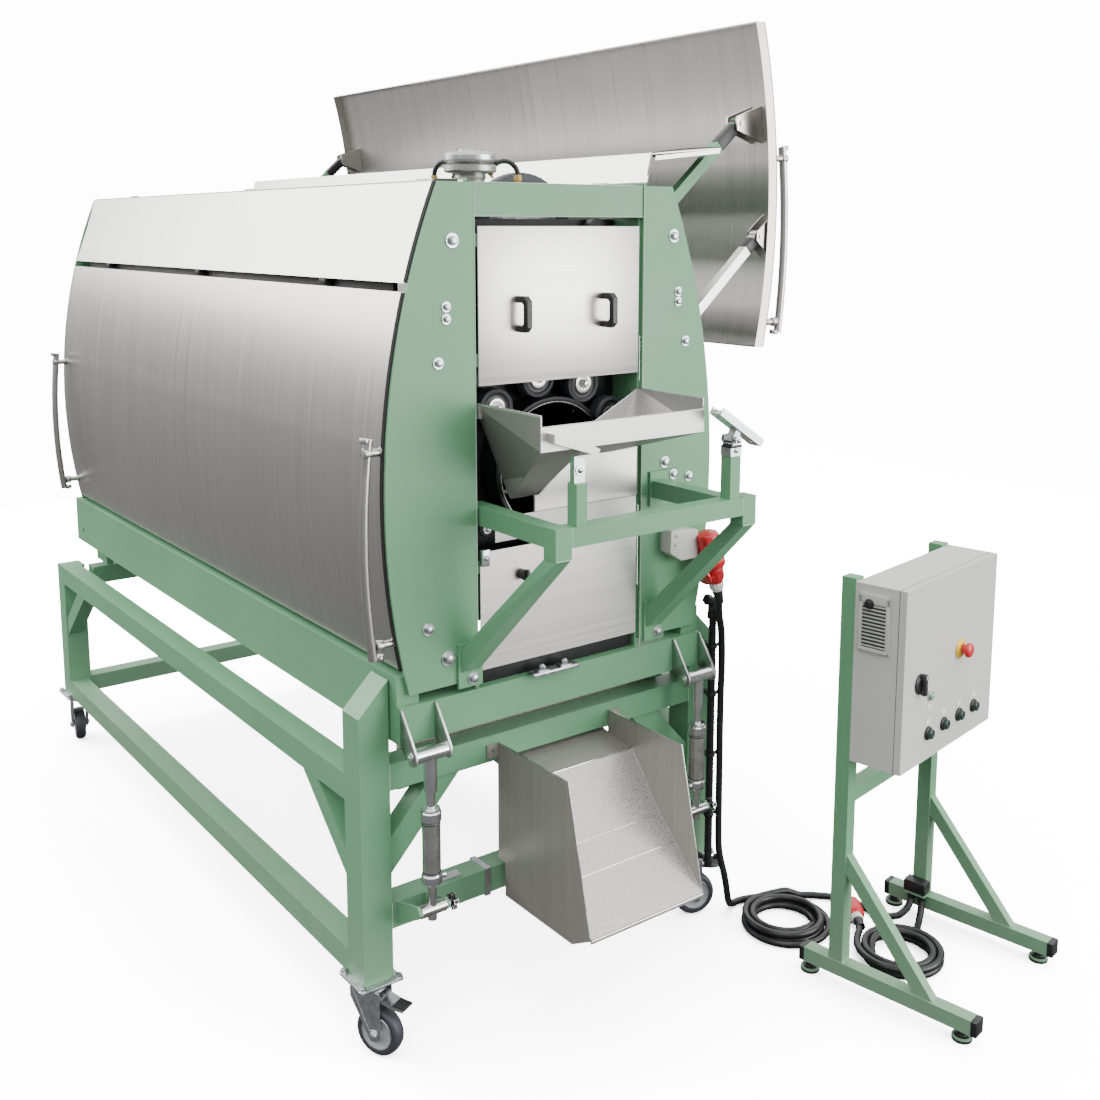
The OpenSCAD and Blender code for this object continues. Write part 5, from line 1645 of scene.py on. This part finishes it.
@dataclass
class HopperFrame:
    """The green frame round the hopper with the rests for the slotted bar."""

    top: float = 1345.0
    front_y: float = -345.0
    left_x: float = -249.0
    corner_x: float = 330.0
    head_y: float = -323.0
    left_head: float = -172.0
    right_head: float = 306.0
    pivot_z: float = 1491.0
    lean: float = -33.0

    def build(self) -> None:
        """Dress the frame and add seams, pins and the slotted bar's screws."""
        dress(SAGE, "hopper_frame")
        dress(ZINC, "bar_heads", "slotted_bar")
        self.seams()
        self.heads()

    def seams(self) -> None:
        """Add pale lines that paint the highlight along the seams between the bars and their corner posts."""
        shape = Shape()
        y, z = self.front_y - 0.3, self.top
        for x in (self.left_x + 45.1, self.corner_x - 0.1):
            shape.bar([(x, y, z - 44), (x, y, z + 0.4), (x, y + 45, z + 0.4)], 0.9)
        for x in (self.left_x, self.corner_x):
            shape.bar([(x + 1, y, z - 71.2), (x + 44, y, z - 71.2)], 0.9)
        shape.piece("hopper_frame_seams", SEAM_HIGHLIGHT, "tilting_body", "sage_paint")

    def heads(self) -> None:
        """Add the pins of the rests and the screws in the slotted bar."""
        shape = Shape()
        shape.bolt((self.left_head, self.head_y - 8, self.top + 126), FRONT, 8, 1.5, domed=True)
        shape.bolt((self.right_head, self.head_y - 18, self.top + 120), FRONT, 6, 1.3, domed=True)
        for way in (-1, 1):
            shape.bolt(
                (self.right_head, self.head_y + way * 24, self.pivot_z), Vector((0, way, 0)), 7.5, 1.4, domed=True,
            )
        shape.piece("rest_pins", CHROME, "tilting_body", "zinc_plate")
        caps = Shape()
        caps.block(
            (self.right_head - 20, self.head_y - 20, self.top + 127),
            (self.right_head + 20, self.head_y + 12, self.top + 134), edge=2.5,
        )
        caps.piece("rest_pads", BLACK, "tilting_body", "black_plastic")
        bar = shift(self.right_head, self.head_y, self.pivot_z) @ spin(-self.lean, "Y")
        screws = Shape()
        for x in (-34, 34):
            screws.bolt((x, 0, 29), UP, 6, 1.3, domed=True, place=bar)
        for x in (-83.6, 83.6):
            screws.block((x - 1.2, -20, 25), (x + 1.2, 20, 38), edge=0.6, place=bar)
        screws.piece("slotted_bar_screws", CHROME, "slotted_bar_body", "zinc_plate")


@dataclass
class FrontPanels:
    """The lift-off upper panel with its two handles, and the lower door."""

    half: float = 246.0
    face_y: float = -41.0
    low: float = 1634.0
    high: float = 2007.0
    handle_x: float = 131.0
    handle_z: float = 1800.0
    knob: tuple[float, float] = (-124.0, 1161.0)

    def build(self) -> None:
        """Make the panel, its handles and the lower door's trim."""
        panel = Shape().block((-self.half, self.face_y, self.low), (self.half, self.face_y + 3.8, self.high), edge=1.3)
        panel.piece("upper_panel_sheet", STEEL_ACROSS, "upper_panel_body", "brushed_stainless", ["upper_panel"])
        for number, x in enumerate((-self.handle_x, self.handle_x), 1):
            self.handle(number, x)
        dress(STEEL_ACROSS, "lower_door")
        self.door_trim()
        self.knob_piece()

    def handle(self, number: int, x: float) -> None:
        """Make one moulded bridge handle.

        Args:
            number: its number.
            x: its middle.
        """
        y, z = self.face_y - 0.2, self.handle_z
        outline = [
            (y, z - 43), (y - 33, z - 43), (y - 45.6, z - 31), (y - 45.6, z + 31), (y - 33, z + 43), (y, z + 43),
            (y, z + 27), (y - 24, z + 27), (y - 30.5, z + 21), (y - 30.5, z - 21), (y - 24, z - 27), (y, z - 27),
        ]
        shape = Shape().plate(outline, Axis.X, x - 9, x + 9, edge=3.2, steps=3)
        shape.piece(f"panel_handle_{number}", BLACK, "upper_panel_body", "black_plastic")

    def door_trim(self) -> None:
        """Add the lower door's catch, hinge block and rubber bumper."""
        metal, rubber = Shape(), Shape()
        metal.block((-249, -54, 1199), (-226, -41.2, 1241), edge=3)
        metal.bolt((-238, -54, 1220), FRONT, 6, 1.2, domed=True)
        metal.bolt((-232, -50, 1290), FRONT, 8, 1.4, domed=True)
        rubber.rod((-232, -36, 1290), (-232, -50, 1290), 20, 18, edge=2.5)
        metal.piece("door_catch", ZINC, "tilting_body", "zinc_plate")
        rubber.piece("door_bumper", RUBBER, "tilting_body", "black_rubber")

    def knob_piece(self) -> None:
        """Make the round turning knob with its finger bar."""
        x, z = self.knob
        place = shift(x, self.face_y, z) @ spin(90, "X")
        shape = Shape().turned(
            [(0, 0.4), (11, 0.4), (13, 2), (13, 12), (14, 15), (13, 19), (9, 21.5), (0, 22)], place, 40,
        )
        shape.block((x - 5, self.face_y - 30, z - 15), (x + 5, self.face_y - 16, z + 15), edge=3, steps=3)
        shape.piece("turning_knob", BLACK, "door_knob_body", "black_plastic", ["door_knob"])


@dataclass
class PowerInlet:
    """The red power inlet with its lid and coupler, and the conduit beside the leg."""

    at: Point = (455.0, -101.0, 1150.0)
    lean: float = 165.0
    conduit: tuple[float, float] = (524.0, -49.0)
    clamps: tuple[float, ...] = (200.0, 340.0, 520.0, 700.0, 840.0)

    @property
    def place(self) -> Matrix:
        """Return the frame of the inlet, with its axis along Z towards the cable."""
        return Matrix.Translation(self.at) @ spin(self.lean, "Y")

    def build(self) -> None:
        """Make the inlet, the coupler, the lid and the conduit."""
        self.inlet()
        self.coupler()
        self.lid()
        self.conduit_run()

    def inlet(self) -> None:
        """Make the grey wedge and the red inlet body on it."""
        wedge = Shape().plate(
            [(325, 1150), (327, 1212), (425, 1202), (425, 1124), (365, 1124)], Axis.Y, -89, -45.2, edge=2.5, corner=5,
        )
        for x, z in ((344, 1172), (346, 1196)):
            wedge.bolt((x, -89, z), FRONT, 4, 1.3, domed=True)
        wedge.piece("inlet_wedge", CABINET, "tilting_body", "cabinet_grey")
        red = Shape().turned(
            [
                (0, -44), (24, -44), (29, -41), (31, -36), (31, 30), (33, 33), (36, 36), (36, 50), (34, 53), (31, 56),
                (27.5, 56), (27.5, 50), (0, 50),
            ],
            self.place, 48,
        )
        for a in angles(4, 45):
            red.block((28, -5, -34), (34.4, 5, 34), edge=1.6, place=self.place @ spin(a, "Z"))
        red.block((26, -18, 20), (40, 18, 34), edge=3, place=self.place)
        red.piece("inlet_body", RED, "tilting_body", "red_plastic", ["inlet_box"])

    def coupler(self) -> None:
        """Make the red coupler with its white nut and black sleeve."""
        red = Shape().turned(
            [(0, 56.4), (26, 56.4), (27.4, 59), (27.4, 70), (25.4, 73), (25, 92), (22, 98), (20, 103), (0, 103)],
            self.place, 48,
        )
        for a in angles(10):
            red.block((24.2, -2.2, 74), (26.4, 2.2, 91), edge=0.8, steps=1, place=self.place @ spin(a, "Z"))
        red.piece("coupler_body", RED, "tilting_body", "red_plastic", ["link_coupler"])
        white = Shape().turned(
            [(0, 101), (18, 101), (19.6, 103), (19.6, 120), (17, 126), (14, 130), (0, 130)], self.place, 40,
        )
        for a in angles(12):
            white.block((18.6, -1.8, 103), (20.4, 1.8, 118), edge=0.6, steps=1, place=self.place @ spin(a, "Z"))
        white.piece("coupler_nut", WHITE, "tilting_body", "red_plastic")
        black = Shape().turned(
            [(10.3, 127), (14.4, 127), (14.6, 131), (13.4, 142), (12.2, 158), (11.2, 168), (10.3, 168)],
            self.place, 32,
        )
        black.piece("coupler_sleeve", BLACK, "tilting_body", "red_plastic")

    def lid(self) -> None:
        """Make the round spring lid with its hinge."""
        lid = self.place @ shift(38.3, 0, 30) @ spin(75, "Y")
        face = lid @ shift(-34, 0, 0)
        shape = Shape().turned(
            [
                (0, 10.5), (22, 10.5), (24, 8), (29, 8), (30.4, 10), (30.4, 14.5), (27, 18), (20, 19.2), (18.5, 17.6),
                (0, 17.6),
            ],
            face, 48,
        )
        shape.block((-22, -13, 8), (0, 13, 15), edge=2.5, place=lid)
        shape.block((-8, -14, -2), (6, 14, 11), edge=2.5, place=lid)
        shape.rod((38.3, -23, 30), (38.3, 23, 30), 6.4, edge=1.5, place=self.place)
        shape.piece("inlet_lid_cap", RED, "inlet_lid_body", "red_plastic", ["inlet_lid"])

    def conduit_run(self) -> None:
        """Make the ribbed conduit with its clamps and elbow gland."""
        x, y = self.conduit
        place = shift(x, y, 0)
        profile, z = [(8.6, 186.0), (11.0, 186.0)], 186.0
        while z < 950:
            profile += [(11.2, z + 2), (11.2, z + 5.2), (9.9, z + 6), (9.9, z + 7.6)]
            z += 8.0
        profile += [(11.0, 956.0), (8.6, 956.0)]
        hose = Shape().turned(profile, place, 20)
        hose.piece("conduit_hose", BLACK, "base", "black_plastic", ["conduit"])
        clamps, knobs = Shape(), Shape()
        for z in self.clamps:
            clamps.turned(
                [(11.2, z), (14.2, z), (14.6, z + 1), (14.6, z + 9), (14.2, z + 10), (11.2, z + 10)], place, 32,
            )
            clamps.block((x - 6.4, y + 2, z), (x + 6.4, -0.2, z + 10), edge=1)
            knobs.rod((x + 12, y, z + 5), (x + 26, y, z + 5), 5, edge=0.8)
            knobs.turned(
                [(0, -8), (5, -6.6), (7.6, -3.4), (8.4, 0), (7.6, 3.4), (5, 6.6), (0, 8)],
                shift(x + 31, y, z + 5) @ turn_to(Vector((1, 0, 0))), 24,
            )
        clamps.piece("conduit_clamps", BLACK, "base", "black_plastic")
        knobs.piece("conduit_clamp_knobs", BLACK, "base", "black_plastic")
        gland = Shape()
        gland.rod((x, y, 926), (x, y, 944), 16.5, sides=6, edge=1.2)
        gland.rod((x, y, 944), (x, y, 960), 14.5, edge=1.5)
        gland.bar(rounded([(x, y, 950), (x, y, 976), (x - 24, y + 1, 984)], 18), 12.5, sides=16)
        gland.rod((x - 10, y + 0.5, 979), (x - 26, y + 1.5, 985), 15.5, sides=6, edge=1.2)
        gland.piece("conduit_elbow", BLACK, "base", "black_plastic")


# ---------------------------------------------------------------- control stand


@dataclass
class Stand:
    """The green stand and its cabinet, in the stand's own turned frame."""

    turn: float = 10.0
    left_x: float = 526.0
    width: float = 472.0
    post_y: float = -560.0
    tube: float = 40.0
    foot_front: float = -952.0
    foot_back: float = -452.0
    foot_z: tuple[float, float] = (30.0, 70.0)
    cab_x: tuple[float, float] = (506.0, 1022.0)
    cab_z: tuple[float, float] = (640.0, 1118.0)
    panel_y: float = -722.0
    door_y: float = -702.0
    stop: tuple[float, float] = (816.0, 898.0)
    switch: tuple[float, float] = (592.0, 860.0)
    pilot: tuple[float, float] = (652.0, 813.0)
    buttons: tuple[float, ...] = (648.0, 736.0, 824.0, 912.0)
    button_z: float = 712.0

    @property
    def place(self) -> Matrix:
        """Return where the stand's own frame stands."""
        return spin(self.turn, "Z")

    def build(self) -> None:
        """Dress the stand and the cabinet and make their parts."""
        dress(SAGE, "stand_frame")
        dress(CABINET, "cabinet", "cabinet_door")
        self.feet()
        self.glands()
        self.grille()
        self.door_trim()
        self.main_switch()
        self.stop_button()
        self.push_buttons()

    def feet(self) -> None:
        """Add the black caps and levelling pads of the feet, and pale bands that paint the highlight along the posts'
        seams.
        """
        caps, pads, seams = Shape(), Shape(), Shape()
        low, high = self.foot_z
        half = self.tube / 2 + 0.5
        for x in (self.left_x, self.left_x + self.width):
            for y0, y1 in ((self.foot_front - 3, self.foot_front + 14), (self.foot_back - 14, self.foot_back + 3)):
                caps.block((x - half, y0, low - 0.5), (x + half, y1, high + 0.5), edge=2.2, place=self.place)
            for y in (-474, -910):
                spot = self.place @ shift(x, y, 0)
                pads.turned(
                    [
                        (0, 0.3), (23, 0.3), (25.6, 2), (25.8, 6), (24.5, 9), (19, 12.6), (13, 14), (10.5, 18),
                        (10, 30), (0, 30),
                    ],
                    spot, 36,
                )
                pads.rod((0, 0, 16), (0, 0, 24), 14, sides=6, edge=1, place=spot)
            u, v = self.tube / 2 + 0.3, self.post_y
            seams.block((x - u, v - u, high - 0.6), (x + u, v + u, high + 1.2), edge=0.5, steps=1, place=self.place)
        caps.piece("foot_caps", BLACK, "base", "black_plastic")
        pads.piece("levelling_pads", BLACK, "base", "black_plastic")
        seams.piece("stand_seams", SEAM_HIGHLIGHT, "base", "sage_paint")

    def glands(self) -> None:
        """Add the cable glands at the foot of the right post and under the cabinet."""
        shape = Shape()
        for x, y in ((1038, -374), (1047, -402)):
            shape.turned([(10.4, 62), (11.4, 62), (13, 72), (14, 79), (10.4, 79)], shift(x, y, 0), 28)
            shape.rod((x, y, 78), (x, y, 88), 16, sides=6, edge=1)
        x, y = self.left_x + self.width - self.tube / 2, self.post_y
        shape.block((x - 37, y - 35, 86), (x + 0.4, y + 31, 121), edge=3, place=self.place)
        shape.piece("cable_glands", BLACK, "base", "black_plastic")

    def grille(self) -> None:
        """Add the framed grille with its slats, screws and the black lock."""
        low_y, high_y = self.door_y + 22, -594.0
        low, high = self.cab_z[1] - 172, self.cab_z[1] - 22
        x = self.cab_x[0] - 6
        frame_shape, slats, dark = Shape(), Shape(), Shape()
        for a, b in (
            ((x - 2.4, low_y, low), (x + 1, low_y + 10, high)), ((x - 2.4, high_y - 10, low), (x + 1, high_y, high)),
            ((x - 2.4, low_y, low), (x + 1, high_y, low + 10)), ((x - 2.4, low_y, high - 26), (x + 1, high_y, high)),
        ):
            frame_shape.block(a, b, edge=1.4, place=self.place)
        count = 12
        step = (high - 26 - low - 10) / count
        for i in range(count):
            z = low + 10 + step * (i + 0.5)
            tilt = self.place @ shift(x - 1.2, 0, z) @ spin(-28, "Y")
            slats.block((-1.0, low_y + 9, -step * 0.30), (1.0, high_y - 9, step * 0.30), edge=0.7, steps=1, place=tilt)
        dark.block((x - 0.6, low_y + 8, low + 8), (x + 0.6, high_y - 8, high - 24), edge=0, place=self.place)
        for y in (low_y + 5.5, high_y - 5.5):
            for z in (low + 5.5, high - 5.5):
                frame_shape.bolt((x - 2.2, y, z), Vector((-1, 0, 0)), 2.6, 1.2, domed=True, place=self.place)
        frame_shape.piece("grille_frame", CABINET, "base", "cabinet_grey")
        slats.piece("grille_slats", CABINET, "base", "cabinet_grey")
        dark.piece("grille_backing", BLACK, "base", "cabinet_grey")
        lock = Shape()
        y, z = -624.0, self.cab_z[1] - 48
        spot = self.place @ shift(x, y, z) @ spin(-90, "Y")
        lock.turned([(0, 0), (13, 0), (13.5, 2), (12, 5), (9.6, 6), (9.6, 12.2), (8.4, 13.4), (0, 13.4)], spot, 32)
        lock.block((-2.2, -8, 12.5), (2.2, 8, 16), edge=1, place=spot)
        lock.piece("side_lock", BLACK, "base", "black_plastic")

    def door_trim(self) -> None:
        """Add the door's gasket line, blank label plates and pilot light."""
        gasket = Shape()
        y = self.door_y - 0.4
        x0, x1 = self.cab_x[0] + 0.6, self.cab_x[1] - 0.6
        low, high = self.cab_z[0] + 0.6, self.cab_z[1] - 0.6
        for a, b in (
            ((x0, low), (x1, low)), ((x0, high), (x1, high)), ((x0, low), (x0, high)), ((x1, low), (x1, high)),
        ):
            gasket.bar([(a[0], y, a[1]), (b[0], y, b[1])], 1.1, place=self.place)
        gasket.piece("door_gasket", BLACK, "base", "cabinet_grey")
        labels = Shape()
        front = self.panel_y
        for x in self.buttons:
            labels.block(
                (x - 12, front - 1.2, self.button_z + 24), (x + 12, front, self.button_z + 37), edge=0.8,
                place=self.place,
            )
        labels.block((640, front - 1.2, 775), (664, front, 788), edge=0.8, place=self.place)
        labels.piece("label_plates", WHITE, "cabinet_door_body", "cabinet_grey")
        lens, rim = Shape(), Shape()
        spot = self.on_door(*self.pilot)
        rim.turned([(9, 0), (13.4, 0), (13.4, 4), (11.5, 6), (9, 6)], spot, 32)
        lens.turned([(0, 0.5), (9.2, 0.5), (9.2, 7), (7, 10), (3.5, 11.4), (0, 11.8)], spot, 32)
        rim.piece("pilot_rim", SATIN_STEEL, "cabinet_door_body", "cabinet_grey")
        lens.piece("pilot_lens", PALE_GREEN, "cabinet_door_body", "cabinet_grey")

    def on_door(self, x: float, z: float) -> Matrix:
        """Return a place on the door's face whose Z axis points out of it."""
        return self.place @ shift(x, self.panel_y, z) @ spin(90, "X")

    def main_switch(self) -> None:
        """Make the rotary main switch: a black collar with an upright grip."""
        spot = self.on_door(*self.switch)
        shape = Shape().turned(
            [(0, 0.4), (26, 0.4), (27, 1.6), (26.4, 4.4), (24, 6), (21, 6.6), (20.4, 8), (0, 8)], spot, 56,
        )
        shape.plate(
            [
                (-8.5, -20), (-6, -28), (6, -28), (8.5, -20), (6.5, 0), (8.5, 20), (6, 28), (-6, 28), (-8.5, 20),
                (-6.5, 0),
            ],
            Axis.Z, 6, 20, edge=2.2, steps=3, place=spot,
        )
        shape.piece("switch_grip", BLACK, "main_switch_body", "black_plastic", ["main_switch"])
        mark = Shape().block((-1.2, 14, 19.4), (1.2, 25, 20.6), edge=0.4, steps=1, place=spot)
        mark.piece("switch_mark", WHITE, "main_switch_body", "black_plastic")

    def stop_button(self) -> None:
        """Make the mushroom stop button on its yellow collar."""
        spot = self.on_door(*self.stop)
        collar = Shape().turned(
            [(12.5, 0.2), (26.5, 0.2), (27, 1.8), (26, 4), (19, 7.4), (16, 8.4), (12.5, 8.4)], spot, 56,
        )
        collar.piece("stop_collar", YELLOW, "cabinet_door_body", "cabinet_grey")
        cap = Shape().turned(
            [
                (0, 9.4), (12, 9.4), (12, 18), (17.5, 19.4), (19.6, 21.6), (20, 25), (18.8, 29), (15.5, 32),
                (10, 33.8), (5, 34.4), (0, 34.5),
            ],
            spot, 56,
        )
        cap.piece("stop_cap", RED, "stop_button_body", "red_plastic", ["stop_button"])

    def push_buttons(self) -> None:
        """Make the four push buttons in their dark collars."""
        rims = Shape()
        for number, x in enumerate(self.buttons, 1):
            spot = self.on_door(x, self.button_z)
            rims.turned([(13.6, 0.2), (18, 0.2), (18.6, 1.6), (17.6, 5), (15.4, 6.6), (13.6, 6.6)], spot, 40)
            cap = Shape().turned(
                [(0, 5.4), (13, 5.4), (13.2, 12.5), (12.2, 15), (9.8, 16), (8, 15.2), (0, 14.8)], spot, 40,
            )
            cap.piece(f"push_cap_{number}", DARK_GREEN, f"button_{number}", "black_plastic", [f"push_button_{number}"])
        rims.piece("push_collars", BLACK, "cabinet_door_body", "black_plastic")


@dataclass
class SupplyPlug:
    """The red plug at the end of the stand's supply cable."""

    at: Point = (850.0, -336.0, 31.0)
    heading: float = 56.0

    def build(self) -> None:
        """Make the plug's parts."""
        place = Matrix.Translation(self.at) @ spin(self.heading, "Z") @ spin(90, "Y")
        red = Shape().turned(
            [
                (0, 26), (19, 26), (22, 30), (27, 36), (28, 40), (28, 62), (29.6, 64), (29.8, 90), (28.6, 92),
                (26.4, 92), (26.4, 70), (0, 70),
            ],
            place, 48,
        )
        for a in angles(12):
            red.block((26.6, -2, 40), (28.8, 2, 60), edge=0.7, steps=1, place=place @ spin(a, "Z"))
        red.piece("plug_body", RED, "base", "red_plastic", ["mains_plug"])
        white = Shape().turned([(0, 8), (15, 8), (17, 11), (18, 14), (18, 27), (0, 27)], place, 40)
        white.piece("plug_nut", WHITE, "base", "red_plastic")
        sleeve = Shape().turned([(10.3, -26), (11.2, -26), (12.4, -12), (14.2, 4), (14.4, 9), (10.3, 9)], place, 32)
        sleeve.piece("plug_sleeve", BLACK, "base", "red_plastic")
        pins = Shape()
        for a in angles(5):
            spot = polar(14, a)
            pins.rod((*spot, 70), (*spot, 88), 3, edge=0.8, sides=16, place=place)
        pins.piece("plug_pins", BRASS, "base", "red_plastic")


def main() -> None:
    """Build everything in order."""
    logging.basicConfig(level=logging.INFO, format="%(message)s")
    Studio().build()
    Cables().build()
    SupplyPlug().build()
    BaseFrame().build()
    for number, (x, y, turn, braked) in enumerate(
        ((-522, 40, -64, True), (522, 40, -20, True), (-522, 2410, 80, False), (522, 2410, 110, False)), 1
    ):
        Caster(number, x, y, turn, braked).build()
    LiftCylinders().build()
    EndFrames().build()
    SkinDoor("left_door", "left_side_door", -1, (0.0, 0.0)).build()
    SkinDoor("right_door", "right_side_door", 1, (251.3, 690.4)).build()
    Covers().build()
    LiftArms().build()
    DriveTrain().build()
    Hopper().build()
    HopperFrame().build()
    FrontPanels().build()
    PowerInlet().build()
    Stand().build()


if __name__ == "__main__":
    main()
